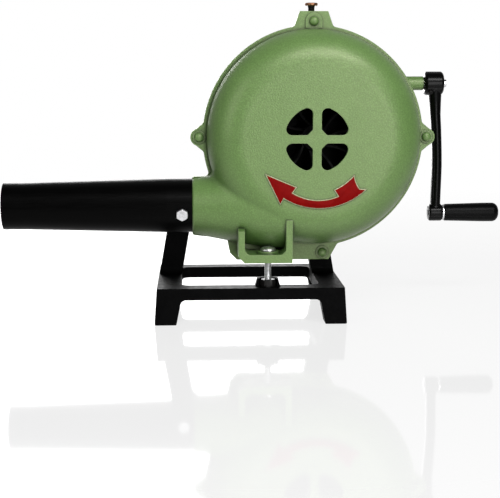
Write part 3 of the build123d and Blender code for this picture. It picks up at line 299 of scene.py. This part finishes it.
def plated_steel():
    """Zinc-plated steel with a cloudy sheen."""
    paint = Paint("zinc_plating", (0.72, 0.72, 0.73), 0.30, metallic=1.0)
    cloud = paint.ramp(paint.noise(2.4, 4.0), 0.35, 0.65)
    paint.colour_from(paint.mix_colour(cloud, (0.62, 0.62, 0.63), (0.86, 0.86, 0.87)))
    paint.roughness_from(paint.noise(1.2), 0.30, 0.46)
    paint.soft_edges(0.5)
    return paint.material


def dark_steel():
    """Blackened steel."""
    paint = Paint("blackened_steel", (0.006, 0.006, 0.006), 0.40, specular=0.2)
    paint.colour_from(paint.mix_colour(paint.noise(1.8, 4.0), (0.003, 0.003, 0.003),
                                       (0.012, 0.011, 0.010)))
    paint.soft_edges(0.4)
    return paint.material


def bright_steel():
    """Ground steel, for shafts and bearings."""
    paint = Paint("ground_steel", (0.66, 0.66, 0.67), 0.22, metallic=1.0)
    paint.colour_from(paint.mix_colour(paint.noise(2.0, 4.0), (0.56, 0.56, 0.57),
                                       (0.74, 0.74, 0.75)))
    paint.soft_edges(0.3)
    return paint.material


def aged_copper():
    """Stained copper, for the oiler's cap."""
    paint = Paint("aged_copper", (0.36, 0.17, 0.09), 0.34, metallic=1.0)
    stain = paint.ramp(paint.noise(1.6, 4.0), 0.35, 0.65)
    paint.colour_from(paint.mix_colour(stain, (0.20, 0.085, 0.05), (0.60, 0.30, 0.17)))
    paint.roughness_from(paint.noise(1.0), 0.26, 0.48)
    return paint.material


def bronze():
    """Machined bronze, for the worm wheel and the crank's bushes."""
    paint = Paint("machined_bronze", (0.55, 0.36, 0.16), 0.3, metallic=1.0)
    paint.colour_from(paint.mix_colour(paint.noise(3.0), (0.48, 0.30, 0.13), (0.62, 0.42, 0.20)))
    return paint.material


def fan_paint():
    """Dull black paint on the fan, dark also as painted shade for the dim inside of the casing."""
    # painted shade: the fan is made near black partly so that the inside seen through the vents
    # looks shaded
    paint = Paint("fan_black_paint_and_painted_shade", (0.006, 0.006, 0.006), 0.6, specular=0.12)
    paint.colour_from(paint.mix_colour(paint.noise(4.0), (0.004, 0.004, 0.004),
                                       (0.009, 0.009, 0.009)))
    paint.bump(paint.noise(1.2, 3.0), 0.1, 0.5)
    return paint.material


def seal_rubber():
    """Black rubber, for the shaft's seal."""
    paint = Paint("seal_rubber", (0.02, 0.02, 0.02), 0.7)
    paint.colour_from(paint.mix_colour(paint.noise(1.0), (0.015, 0.015, 0.015),
                                       (0.03, 0.03, 0.03)))
    return paint.material


def gasket_paper():
    """Fibrous paper, for the gear case's gasket."""
    paint = Paint("gasket_paper", (0.30, 0.24, 0.15), 0.85)
    fibres = paint.noise(0.6, 5.0)
    paint.colour_from(paint.mix_colour(fibres, (0.22, 0.17, 0.10), (0.36, 0.29, 0.18)))
    paint.bump(fibres, 0.04, 0.6)
    return paint.material


LOOKS = {
    "green_casting": green_enamel(),
    "black_casting": black_casting(),
    "black_forging": black_gloss(),
    "black_tube": black_tube(),
    "red_paint": red_enamel(),
    "zinc_steel": plated_steel(),
    "dark_steel": dark_steel(),
    "bright_steel": bright_steel(),
    "copper_brass": aged_copper(),
    "bronze": bronze(),
    "fan_paint": fan_paint(),
    "black_plastic": black_plastic(),
    "seal_rubber": seal_rubber(),
    "gasket_paper": gasket_paper(),
}

slot_of = {part["node"]: part["material_slot"] for part in frame["record"]["subparts"]}
for name, node in nodes.items():
    node.data.materials.clear()
    node.data.materials.append(LOOKS[slot_of[name]])
nodes["grip_pin"].data.materials[0] = LOOKS["black_forging"]     # its head is painted over


# ---------------------------------------------------------------- mesh helpers
def body_of(node):
    """The body that a node rides on."""
    for body, members in frame["record"]["behaviour"]["bodies"].items():
        if node in members:
            return body
    raise ValueError(node)


def finish_piece(mesh, name, node, smooth_angle=35.0, materials=None):
    """Turns a bmesh into a piece that takes a node's place, body and slot."""
    bmesh.ops.recalc_face_normals(mesh, faces=mesh.faces)
    data = bpy.data.meshes.new(name)
    mesh.to_mesh(data)
    mesh.free()
    for material in materials or [LOOKS[slot_of[node]]]:
        data.materials.append(material)
    for face in data.polygons:
        face.use_smooth = True
    data.set_sharp_from_angle(angle=math.radians(smooth_angle))
    piece = bpy.data.objects.new(name, data)
    bpy.context.scene.collection.objects.link(piece)
    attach(piece, body_of(node))
    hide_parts(node)


def basis(direction):
    """A matrix that turns +Z to direction."""
    return Vector(direction).to_track_quat("Z", "Y").to_matrix().to_4x4()


def off_flat(angle):
    """The cosine of an angle's distance from the middle of its flat on a hexagon."""
    return math.cos((angle % (math.pi / 3)) - math.pi / 6)


def add_tip(mesh, place, height):
    """Adds a point on the axis: a ring of radius 0."""
    return [mesh.verts.new(place @ Vector((0, 0, height * MM)))]


def add_ring(mesh, place, height, sides, radius_at):
    """Adds a ring of points, whose radius in millimetres depends on the angle."""
    ring = []
    for side in range(sides):
        angle = 2 * math.pi * side / sides
        radius = radius_at(angle)
        point = Vector((radius * math.cos(angle), radius * math.sin(angle), height)) * MM
        ring.append(mesh.verts.new(place @ point))
    return ring


def add_lathe(mesh, profile, base, direction, sides=64):
    """Adds a turned form: profile holds (radius, height) in millimetres along direction.

    A third value in a point makes its ring a hexagon of that inner radius.
    """
    place = Matrix.Translation(base) @ basis(direction)
    rings = []
    for radius, height, *hexagonal in profile:
        if radius < TINY:
            rings.append(add_tip(mesh, place, height))
            continue
        rings.append(add_ring(mesh, place, height, sides,
                              lambda angle: radius / off_flat(angle) if hexagonal else radius))
    for first, second in zip(rings, rings[1:]):
        bridge(mesh, first, second)


def bridge(mesh, first, second):
    """Joins two rings of as many points each, or a ring and a single point."""
    sides = max(len(first), len(second))
    for side in range(sides):
        after = (side + 1) % sides
        if len(first) == 1 and len(second) == 1:
            return
        if len(first) == 1:
            mesh.faces.new((first[0], second[after], second[side]))
        elif len(second) == 1:
            mesh.faces.new((first[side], first[after], second[0]))
        else:
            mesh.faces.new((first[side], first[after], second[after], second[side]))


def rounded(profile, radius):
    """A profile with every corner but its ends rounded, from at most that far away."""
    steps = 4
    longest = 1 / 2.2        # share of a side that a corner may take
    points = [Vector(profile[0])]
    for before, corner, after in zip(profile, profile[1:], profile[2:]):
        before, corner, after = Vector(before), Vector(corner), Vector(after)
        reach = min(radius, (before - corner).length * longest,
                    (after - corner).length * longest)
        start = corner + (before - corner).normalized() * reach
        end = corner + (after - corner).normalized() * reach
        for step in range(steps + 1):
            t = step / steps
            points.append((1 - t) ** 2 * start + 2 * t * (1 - t) * corner + t ** 2 * end)
    points.append(Vector(profile[-1]))
    return [tuple(point) for point in points]


def add_hexagon(mesh, flats, height, bore, base, direction, turn=0.0):
    """Adds a chamfered hexagon, with a bore unless bore is 0."""
    sides = 72
    chamfer = 0.12           # share of the height
    face, edge, corner = 0.93, 1.02, 1.2     # greatest radius at each level, over the inner one
    place = Matrix.Translation(base) @ basis(direction) @ Matrix.Rotation(turn, 4, "Z")
    inner = flats / 2
    levels = [(inner * face, 0.0), (inner * edge, 0.0), (inner * corner, height * chamfer),
              (inner * corner, height * (1 - chamfer)), (inner * edge, height),
              (inner * face, height)]
    rings = [add_ring(mesh, place, level, sides,
                      lambda angle: min(inner / off_flat(angle), limit))
             for limit, level in levels]
    if bore:
        rings += [add_ring(mesh, place, level, sides, lambda angle: bore)
                  for level in (height, 0.0)]
        rings.append(rings[0])
    else:
        rings = [add_tip(mesh, place, 0.0)] + rings + [add_tip(mesh, place, height)]
    for first, second in zip(rings, rings[1:]):
        bridge(mesh, first, second)


def add_thread(mesh, radius, pitch, depth, length, base, direction):
    """Adds a rod with one helical thread along its whole length, closed at both ends."""
    sides, per_turn = 36, 6
    run_out = 3              # rows over which the thread starts and ends
    place = Matrix.Translation(base) @ basis(direction)
    rows = max(2, int(length / pitch * per_turn))
    rings = []
    for row in range(rows + 1):
        height = length * row / rows
        fade = min(1.0, row / run_out, (rows - row) / run_out)

        def radius_at(angle):
            wave = abs(((height / pitch + angle / (2 * math.pi)) % 1.0) * 2 - 1)
            return radius - depth * wave * fade - depth / 2 * (1 - fade)
        rings.append(add_ring(mesh, place, height, sides, radius_at))
    rings = [add_tip(mesh, place, 0.0)] + rings + [add_tip(mesh, place, length)]
    for first, second in zip(rings, rings[1:]):
        bridge(mesh, first, second)


# ---------------------------------------------------------------- camera
PHOTO_WIDTH = 500            # pixels
FOCAL_LENGTH = 1177.0        # pixels
SENSOR_WIDTH = 36.0          # millimetres
CAMERA_PLACE = (-144.2, -1422.9, 79.1)
CAMERA_YAW = 2.754           # degrees to the right
CAMERA_PITCH = 8.617         # degrees downwards


def add_camera():
    """The photograph's camera: place and angles from the fit to the casing, pipe and stand."""
    place = spot(*CAMERA_PLACE)
    yaw, pitch = math.radians(CAMERA_YAW), math.radians(CAMERA_PITCH)
    data = bpy.data.cameras.new("camera")
    data.sensor_width = SENSOR_WIDTH
    data.lens = FOCAL_LENGTH / PHOTO_WIDTH * data.sensor_width
    data.clip_end = 50.0
    camera = bpy.data.objects.new("camera", data)
    forward = Vector((math.sin(yaw) * math.cos(pitch), math.cos(yaw) * math.cos(pitch),
                      -math.sin(pitch)))
    right = Vector((math.cos(yaw), -math.sin(yaw), 0.0))
    up = right.cross(forward)
    turn = Matrix((right, up, -forward)).transposed().to_4x4()
    camera.matrix_world = Matrix.Translation(place) @ turn
    bpy.context.scene.collection.objects.link(camera)
    bpy.context.scene.camera = camera


# ---------------------------------------------------------------- studio
WORLD_LIGHT = 0.11           # strength that lights the object; 1.0 is what is seen
ROOM_FRONT = 0.04            # what gloss shows of the room's front
ROOM_BACK = 0.62             # and of its back
ROOM_MIDDLE = 0.1            # share of the way back at which the room starts to brighten
FLOOR_GLOW = 0.95
FLOOR_GREY = 0.14            # shade of the floor that takes the shadows
FLOOR_SHINE = 0.20
FLOOR_ROUGHNESS = 0.05
FLOOR_FADE = 0.5             # distance at which the floor starts to clear, in metres
FLOOR_REACH = 1.6            # distance at which it is gone
FLOOR_GAP = 0.2 * MM         # below the feet

LIGHTS = (                   # name, place in millimetres, size in metres, watts
    ("front", (450, -1700, 100), (0.8, 0.8), 9.8),
    ("key", (330, -1150, 1060), (1.1, 0.36), 17.0),
    ("side", (-1250, -1050, 500), (0.35, 0.9), 4.5),
    ("back", (-300, 1700, 250), (1.0, 0.9), 18.0),
)


def ray_share(tree, *kinds):
    """1 for rays of these kinds, and 0 for all others."""
    rays = tree.nodes.new("ShaderNodeLightPath")
    total = rays.outputs[kinds[0]]
    for kind in kinds[1:]:
        either = tree.nodes.new("ShaderNodeMath")
        either.operation = "MAXIMUM"
        tree.links.new(total, either.inputs[0])
        tree.links.new(rays.outputs[kind], either.inputs[1])
        total = either.outputs[0]
    return total


def add_world():
    """A white world to look at, a dim one to light with, and a room that gloss shows."""
    world = bpy.data.worlds.new("studio")
    world.use_nodes = True
    tree = world.node_tree
    background = tree.nodes["Background"]
    place = tree.nodes.new("ShaderNodeTexCoord")
    split = tree.nodes.new("ShaderNodeSeparateXYZ")
    tree.links.new(place.outputs["Generated"], split.inputs[0])
    room = mapped(tree, split.outputs["Y"], ROOM_MIDDLE, 1.0, ROOM_FRONT, ROOM_BACK)
    seen = ray_share(tree, "Is Camera Ray", "Is Transmission Ray")
    glossy = ray_share(tree, "Is Glossy Ray")
    shown = tree.nodes.new("ShaderNodeMix")
    tree.links.new(glossy, shown.inputs["Factor"])
    shown.inputs["A"].default_value = WORLD_LIGHT
    tree.links.new(room, shown.inputs["B"])
    strength = tree.nodes.new("ShaderNodeMath")
    strength.operation = "MAXIMUM"
    tree.links.new(shown.outputs["Result"], strength.inputs[0])
    tree.links.new(seen, strength.inputs[1])
    tree.links.new(strength.outputs[0], background.inputs["Strength"])
    background.inputs["Color"].default_value = (1.0, 1.0, 1.0, 1.0)
    bpy.context.scene.world = world


def add_light(name, place, target, size, power):
    """A soft rectangular lamp that faces the target."""
    data = bpy.data.lights.new(name, "AREA")
    data.shape = "RECTANGLE"
    data.size, data.size_y = size
    data.energy = power
    light = bpy.data.objects.new(name, data)
    light.location = place
    light.rotation_mode = "QUATERNION"
    light.rotation_quaternion = (Vector(place) - Vector(target)).to_track_quat("Z", "Y")
    bpy.context.scene.collection.objects.link(light)


def add_floor():
    """A pale floor that fades into the white background all round the object."""
    mesh = bmesh.new()
    corners = ((-1, -1), (1, -1), (1, 1), (-1, 1))
    mesh.faces.new([mesh.verts.new((x * FLOOR_REACH, y * FLOOR_REACH, floor_z - FLOOR_GAP))
                    for x, y in corners])
    data = bpy.data.meshes.new("floor")
    mesh.to_mesh(data)
    mesh.free()
    floor = bpy.data.objects.new("floor", data)
    bpy.context.scene.collection.objects.link(floor)
    material = bpy.data.materials.new("floor_white")
    material.use_nodes = True
    tree = material.node_tree
    tree.nodes.remove(tree.nodes["Principled BSDF"])
    diffuse = tree.nodes.new("ShaderNodeBsdfDiffuse")
    diffuse.inputs["Color"].default_value = (FLOOR_GREY, FLOOR_GREY, FLOOR_GREY, 1.0)
    glow = tree.nodes.new("ShaderNodeEmission")
    seen = ray_share(tree, "Is Camera Ray", "Is Glossy Ray", "Is Transmission Ray")
    tree.links.new(mapped(tree, seen, 0.0, 1.0, 0.0, FLOOR_GLOW), glow.inputs["Strength"])
    both = tree.nodes.new("ShaderNodeAddShader")
    tree.links.new(diffuse.outputs[0], both.inputs[0])
    tree.links.new(glow.outputs[0], both.inputs[1])
    shine = tree.nodes.new("ShaderNodeBsdfGlossy")
    shine.inputs["Roughness"].default_value = FLOOR_ROUGHNESS
    gloss = tree.nodes.new("ShaderNodeMixShader")
    gloss.inputs["Fac"].default_value = FLOOR_SHINE
    tree.links.new(both.outputs[0], gloss.inputs[1])
    tree.links.new(shine.outputs[0], gloss.inputs[2])
    place = tree.nodes.new("ShaderNodeTexCoord")
    length = tree.nodes.new("ShaderNodeVectorMath")
    length.operation = "LENGTH"
    tree.links.new(place.outputs["Object"], length.inputs[0])
    fade = mapped(tree, length.outputs["Value"], FLOOR_FADE, FLOOR_REACH, 0.0, 1.0)
    clear = tree.nodes.new("ShaderNodeBsdfTransparent")
    edge = tree.nodes.new("ShaderNodeMixShader")
    tree.links.new(fade, edge.inputs["Fac"])
    tree.links.new(gloss.outputs[0], edge.inputs[1])
    tree.links.new(clear.outputs[0], edge.inputs[2])
    tree.links.new(edge.outputs[0], tree.nodes["Material Output"].inputs["Surface"])
    data.materials.append(material)


def add_studio():
    """The world, the floor and four lamps that face the fan's axis."""
    add_world()
    add_floor()
    for name, place, size, power in LIGHTS:
        add_light(name, spot(*place), spot(0, 0, 0), size, power)


# ---------------------------------------------------------------- the pieces
LUG_BOLTS = (                # x, z and length behind the head
    (-137.2, 0.0, 21.4),
    (137.2, 0.0, 21.4),
    (12.0, -140.2, 21.4),
    (0.0, 137.2, 25.2),
)
LUG_FACE = 7.2               # from the joint to the lugs' front and back faces
OVERLAP = 0.5                # of a screw's shank into its head

CRANK_X = 172.2              # the arm's centre line, before its bow
CRANK_Y, CRANK_Z = 96.0, 63.0                # the crank shaft's axis
ARM_LENGTH = 167.4           # from that axis to the grip's
ARM_STATIONS = (             # share of the length, offset along X, thickness, breadth
    (0.04, -5.4, 18.0, 25.0),
    (0.14, -4.4, 15.4, 20.0),
    (0.24, -3.6, 13.6, 18.0),
    (0.34, -2.2, 13.2, 17.6),
    (0.44, -1.2, 12.9, 17.2),
    (0.54, -0.4, 12.8, 16.8),
    (0.64, 0.0, 12.8, 16.4),
    (0.74, -0.2, 12.7, 16.0),
    (0.84, -0.5, 12.6, 15.6),
    (0.97, -0.8, 12.6, 15.2),
)
GROOVE_PLACE = -0.52         # share of the arm's half thickness
GROOVE_WIDTH = 0.15
GROOVE_DEPTH = 1.2
GROOVE_START, GROOVE_FULL = 0.12, 0.18       # shares of the length
GROOVE_LATE, GROOVE_END = 0.90, 0.95
HUB_LEFT, EYE_LEFT = 152.9, 162.3
HUB_PROFILE = ((0.0, 0.0), (12.6, 0.0), (15.0, 2.4), (15.0, 22.0), (12.6, 24.4), (8.6, 24.4),
               (8.0, 23.8), (0.0, 23.8))
EYE_PROFILE = ((0.0, 0.0), (9.4, 0.0), (11.0, 1.6), (11.0, 16.3), (9.4, 17.9), (0.0, 17.9))
HUB_EDGE, EYE_EDGE = 1.0, 0.9


def direction_arrow():
    """The raised arrow: red on its face, with the sloping rim showing pale paint."""
    rim = 0.9
    flat = 0.5               # degrees; faces that meet at less are one
    fold = 1.0               # radians; edges of the face fold by more
    mesh = bmesh.new()
    mesh.from_mesh(nodes["direction_arrow"].data)
    bmesh.ops.remove_doubles(mesh, verts=mesh.verts, dist=TINY)
    bmesh.ops.dissolve_limit(mesh, angle_limit=math.radians(flat), verts=mesh.verts,
                             edges=mesh.edges)
    front = min(vertex.co.y for vertex in mesh.verts)
    edges = [edge for edge in mesh.edges
             if all(abs(vertex.co.y - front) < 10 * TINY for vertex in edge.verts)
             and len(edge.link_faces) == 2 and edge.calc_face_angle(0) > fold]
    bmesh.ops.bevel(mesh, geom=edges, offset=rim * MM, offset_type="OFFSET", segments=2,
                    profile=0.5, affect="EDGES", clamp_overlap=False, material=1)
    finish_piece(mesh, "arrow_relief", "direction_arrow", 50.0, [LOOKS["red_paint"], arrow_rim()])


def between(rows, share):
    """The values of rows of (share, value, ...), interpolated at a share."""
    spans = list(zip(rows, rows[1:]))
    first, second = next((span for span in spans if share <= span[1][0]), spans[-1])
    t = min(1.0, max(0.0, (share - first[0]) / (second[0] - first[0])))
    return [a + (b - a) * t for a, b in zip(first[1:], second[1:])]


def arm_section(thickness, breadth, groove):
    """An outline in X and Y: round, with a narrow groove along its front and its back."""
    steps = 40
    fullness = 0.75          # 1 is an ellipse, and less is fuller
    outline = []
    for step in range(steps):
        turn = 2 * math.pi * step / steps
        across = math.sin(turn)
        y = -breadth / 2 * math.copysign(abs(math.cos(turn)) ** fullness, math.cos(turn))
        cut = groove * math.exp(-((across - GROOVE_PLACE) / GROOVE_WIDTH) ** 2)
        outline.append((thickness / 2 * across, y - math.copysign(cut, y) if abs(y) > cut else y))
    return outline


def crank_arm():
    """The forged crank: a barrel hub, a grooved arm bowed outwards, and an eye for the grip."""
    rows = 48
    start, end = ARM_STATIONS[0][0], ARM_STATIONS[-1][0]
    mesh = bmesh.new()
    rings = []
    for row in range(rows + 1):
        share = start + (end - start) * row / rows
        offset, thickness, breadth = between(ARM_STATIONS, share)
        fade = min(1.0, max(0.0, (share - GROOVE_START) / (GROOVE_FULL - GROOVE_START)),
                   max(0.0, (GROOVE_END - share) / (GROOVE_END - GROOVE_LATE)))
        rings.append([mesh.verts.new(spot(CRANK_X + offset + x, CRANK_Y + y,
                                          CRANK_Z - share * ARM_LENGTH))
                      for x, y in arm_section(thickness, breadth, GROOVE_DEPTH * fade)])
    for first, second in zip(rings, rings[1:]):
        bridge(mesh, first, second)
    mesh.faces.new(rings[0])
    mesh.faces.new(list(reversed(rings[-1])))
    add_lathe(mesh, rounded(HUB_PROFILE, HUB_EDGE), spot(HUB_LEFT, CRANK_Y, CRANK_Z), (1, 0, 0), 72)
    add_lathe(mesh, rounded(EYE_PROFILE, EYE_EDGE), spot(EYE_LEFT, CRANK_Y, CRANK_Z - ARM_LENGTH),
              (1, 0, 0))
    finish_piece(mesh, "forged_crank", "crank_arm", 40.0)


def dome(radius, height, start, steps=7):
    """Profile points of a dome from its rim to its middle."""
    points = []
    for step in range(steps + 1):
        angle = math.pi / 2 * step / steps
        points.append((radius * math.cos(angle), start + (height - start) * math.sin(angle)))
    points[-1] = (0.0, height)
    return points


def grooves(radius, start, end, pitch, depth=0.5):
    """Profile points of a thread's crests and roots from start to end."""
    root_share, crest_share = 0.1, 0.5       # of the pitch
    count = max(1, int(abs(end - start) / pitch))
    step = (end - start) / count
    points = []
    for turn in range(count):
        points.append((radius - depth, start + step * (turn + root_share)))
        points.append((radius, start + step * (turn + crest_share)))
        points.append((radius - depth, start + step * (turn + 1 - root_share)))
    return points


def housing_bolts():
    """Domed screws through the casing's lugs, with threaded ends behind the nuts."""
    shank, root, tip, chamfer = 3.0, 2.8, 2.3, 0.5
    head, head_height, rim_height = 5.6, 4.5, 0.9
    thread_length, plain = 9.0, 6.0
    pitch, depth = 1.0, 0.4
    mesh = bmesh.new()
    for x, z, end in LUG_BOLTS:
        threaded = min(-plain, -end + thread_length)
        profile = [(0.0, -end), (tip, -end), (root, -end + chamfer)]
        profile += grooves(shank, -end + chamfer + 0.1, threaded, pitch, depth)
        profile += [(shank, threaded), (shank, 0.0), (head - 0.1, 0.0), (head + 0.05, 0.5)]
        profile += dome(head, head_height, rim_height)
        add_lathe(mesh, profile, spot(x, -LUG_FACE, z), (0, -1, 0), 40)
    finish_piece(mesh, "lug_screws", "housing_bolts")


def housing_nuts():
    """Hexagon nuts behind the lugs; the screw on top goes into the casting."""
    flats, height, bore = 10.0, 5.0, 3.02
    unevenness = 0.3         # turns each nut a little by its place
    mesh = bmesh.new()
    for x, z, _ in LUG_BOLTS[:3]:
        add_hexagon(mesh, flats, height, bore, spot(x, LUG_FACE, z), (0, 1, 0),
                    unevenness * z * MM)
    finish_piece(mesh, "lug_nuts", "housing_nuts")


def level_screw():
    """The carriage bolt: a mushroom head on a threaded rod that goes down into the stand."""
    head_height = 5.2
    radius, pitch, depth = 4.0, 1.25, 0.55
    low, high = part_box("level_bolt")
    middle = (low + high) / 2
    seat = high.z - head_height * MM
    mesh = bmesh.new()
    head = [(0.0, -0.3), (4.6, -0.3), (9.0, 0.0), (9.6, 0.5)] + dome(9.55, head_height, 1.0, 9)
    add_lathe(mesh, head, Vector((middle.x, middle.y, seat)), (0, 0, 1))
    add_thread(mesh, radius, pitch, depth, (seat - low.z) / MM,
               Vector((middle.x, middle.y, low.z)), (0, 0, 1))
    finish_piece(mesh, "level_screw", "level_bolt")


def level_collar():
    """The dark lock nut on the carriage bolt."""
    flats, bore = 16.0, 4.02
    low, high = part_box("level_nut")
    middle = (low + high) / 2
    mesh = bmesh.new()
    add_hexagon(mesh, flats, (high.z - low.z) / MM, bore, Vector((middle.x, middle.y, low.z)),
                (0, 0, 1))
    finish_piece(mesh, "lock_nut", "level_nut")


def pipe_screw_head():
    """The hexagon screw that pins the pipe, square to the pipe's surface."""
    pipe_radius, drop = 32.5, 7.0            # drop of the screw below the pipe's axis
    pipe_x, pipe_z = -158.0, -82.5
    flats, head_height = 13.0, 5.0
    shank, length, point = 4.0, 9.0, 0.6
    tilt = math.asin(drop / pipe_radius)
    out = Vector((0.0, -math.cos(tilt), -math.sin(tilt)))
    seat = spot(pipe_x, 0.0, pipe_z) + out * pipe_radius * MM
    mesh = bmesh.new()
    add_hexagon(mesh, flats, head_height, 0.0, seat, out, math.pi / 2)
    profile = [(0.0, OVERLAP), (shank, OVERLAP), (shank, point - length),
               (shank - point, -length), (0.0, -length)]
    add_lathe(mesh, profile, seat, out, 36)
    finish_piece(mesh, "pipe_hexagon_screw", "pipe_screw")


def saddle_screws():
    """The two hexagon screws that hold the casing to the stand's saddle bar."""
    flats, height = 13.0, 5.3
    radius, tip, plain, pitch = 4.0, 3.3, 8.0, 1.25
    mesh = bmesh.new()
    low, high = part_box("saddle_bolts")
    corner = flats / 2 / math.cos(math.pi / 6) * MM
    middle = (low.z + high.z) / 2
    length = (high.y - low.y) / MM - height
    for x in (low.x + corner, high.x - corner):
        seat = Vector((x, high.y - height * MM, middle))
        add_hexagon(mesh, flats, height, 0.0, seat, (0, 1, 0), math.pi / 2)
        profile = [(0.0, OVERLAP), (radius, OVERLAP), (radius, -length + plain)]
        profile += grooves(radius, -length + plain, -length + 0.6, pitch)
        profile += [(tip, -length), (0.0, -length)]
        add_lathe(mesh, profile, seat, (0, 1, 0), 36)
    finish_piece(mesh, "saddle_screws", "saddle_bolts")


def socket_head(radius, height, socket, length, shank):
    """Profile of a screw with a round-edged head and a hexagon socket of that inner radius."""
    edge = min(0.7, radius / 5)
    tip = 0.5
    return [(0.0, height * 0.35), (socket, height * 0.4, True), (socket, height, True),
            (radius - edge, height), (radius, height - edge), (radius, 0.0), (shank, 0.0),
            (shank, -length + tip), (shank - tip, -length), (0.0, -length)]


def cap_screws(name, node, spots, direction, sizes):
    """One piece of equal cap screws, of the sizes that socket_head takes."""
    mesh = bmesh.new()
    for place in spots:
        add_lathe(mesh, socket_head(*sizes), place, direction, 48)
    finish_piece(mesh, name, node)


def case_screws():
    """The gear case's cap screws, on the side cover and on the bearing cap."""
    cover_x, ring = -24.0, 64.2
    foot_z, foot_ys = -24.0, (50.0, 122.0)
    cap_y, cap_ring = 150.0, 17.0
    spots = []
    for angle in (-18.0, 42.0, 100.0, 146.0):        # degrees round the crank's shaft
        turn = math.radians(angle)
        spots.append(spot(cover_x, CRANK_Y + ring * math.cos(turn),
                          CRANK_Z + ring * math.sin(turn)))
    spots += [spot(cover_x, y, foot_z) for y in foot_ys]
    cap_screws("cover_cap_screws", "cover_screws", spots, (-1, 0, 0), (4.4, 3.4, 2.0, 17.0, 2.5))
    spread = cap_ring * math.sin(math.pi / 4)
    spots = [spot(sx * spread, cap_y, sz * spread) for sx in (-1, 1) for sz in (-1, 1)]
    cap_screws("bearing_cap_cap_screws", "bearing_cap_screws", spots, (0, 1, 0),
               (3.6, 2.8, 1.6, 10.0, 2.0))


def oiler():
    """The oiler on the block: a threaded stem with a shoulder, and a lifting cap."""
    bore, stem, sunk = 2.4, 4.2, 4.0
    low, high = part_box("oil_cup")
    base = Vector(((low.x + high.x) / 2, (low.y + high.y) / 2, low.z))
    top = (high.z - low.z) / MM
    mesh = bmesh.new()
    profile = [(bore, 0.0), (sunk, 0.0), (sunk, 5.0), (6.2, 5.0), (6.5, 5.3), (6.5, 5.8),
               (6.1, 6.1), (sunk, 6.3)]
    profile += grooves(stem, 6.4, top - 1.6, 1.1)
    profile += [(stem, top - 1.4), (stem, top), (bore, top), (bore, 0.0)]
    add_lathe(mesh, profile, base, (0, 0, 1), 48)
    bmesh.ops.remove_doubles(mesh, verts=mesh.verts, dist=TINY / 10)
    finish_piece(mesh, "oiler_stem", "oil_cup")
    plug, rim, thickness = 2.35, 7.75, 3.7
    low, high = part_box("oil_cap")
    base = Vector((base.x, base.y, low.z))
    top = (high.z - low.z) / MM
    disc = top - thickness
    mesh = bmesh.new()
    profile = [(0.0, 0.0), (2.0, 0.0), (plug, 0.4), (plug, disc), (6.4, disc)]
    profile += rounded([(6.9, disc), (rim, disc + 0.8), (rim, top - 0.6), (6.8, top - 0.1),
                        (5.6, top - 0.25)], 0.6)
    profile += [(5.2, top - 0.7), (2.4, top - 0.6), (2.0, top), (0.0, top)]
    add_lathe(mesh, profile, base, (0, 0, 1), 56)
    finish_piece(mesh, "oiler_lid", "oil_cap")


def build():
    """Makes the pieces that take the place of plain nodes."""
    for make in (direction_arrow, crank_arm, housing_bolts, housing_nuts, level_screw,
                 level_collar, pipe_screw_head, saddle_screws, case_screws, oiler):
        make()


build()
add_camera()
add_studio()
bpy.context.scene.view_settings.view_transform = "Standard"
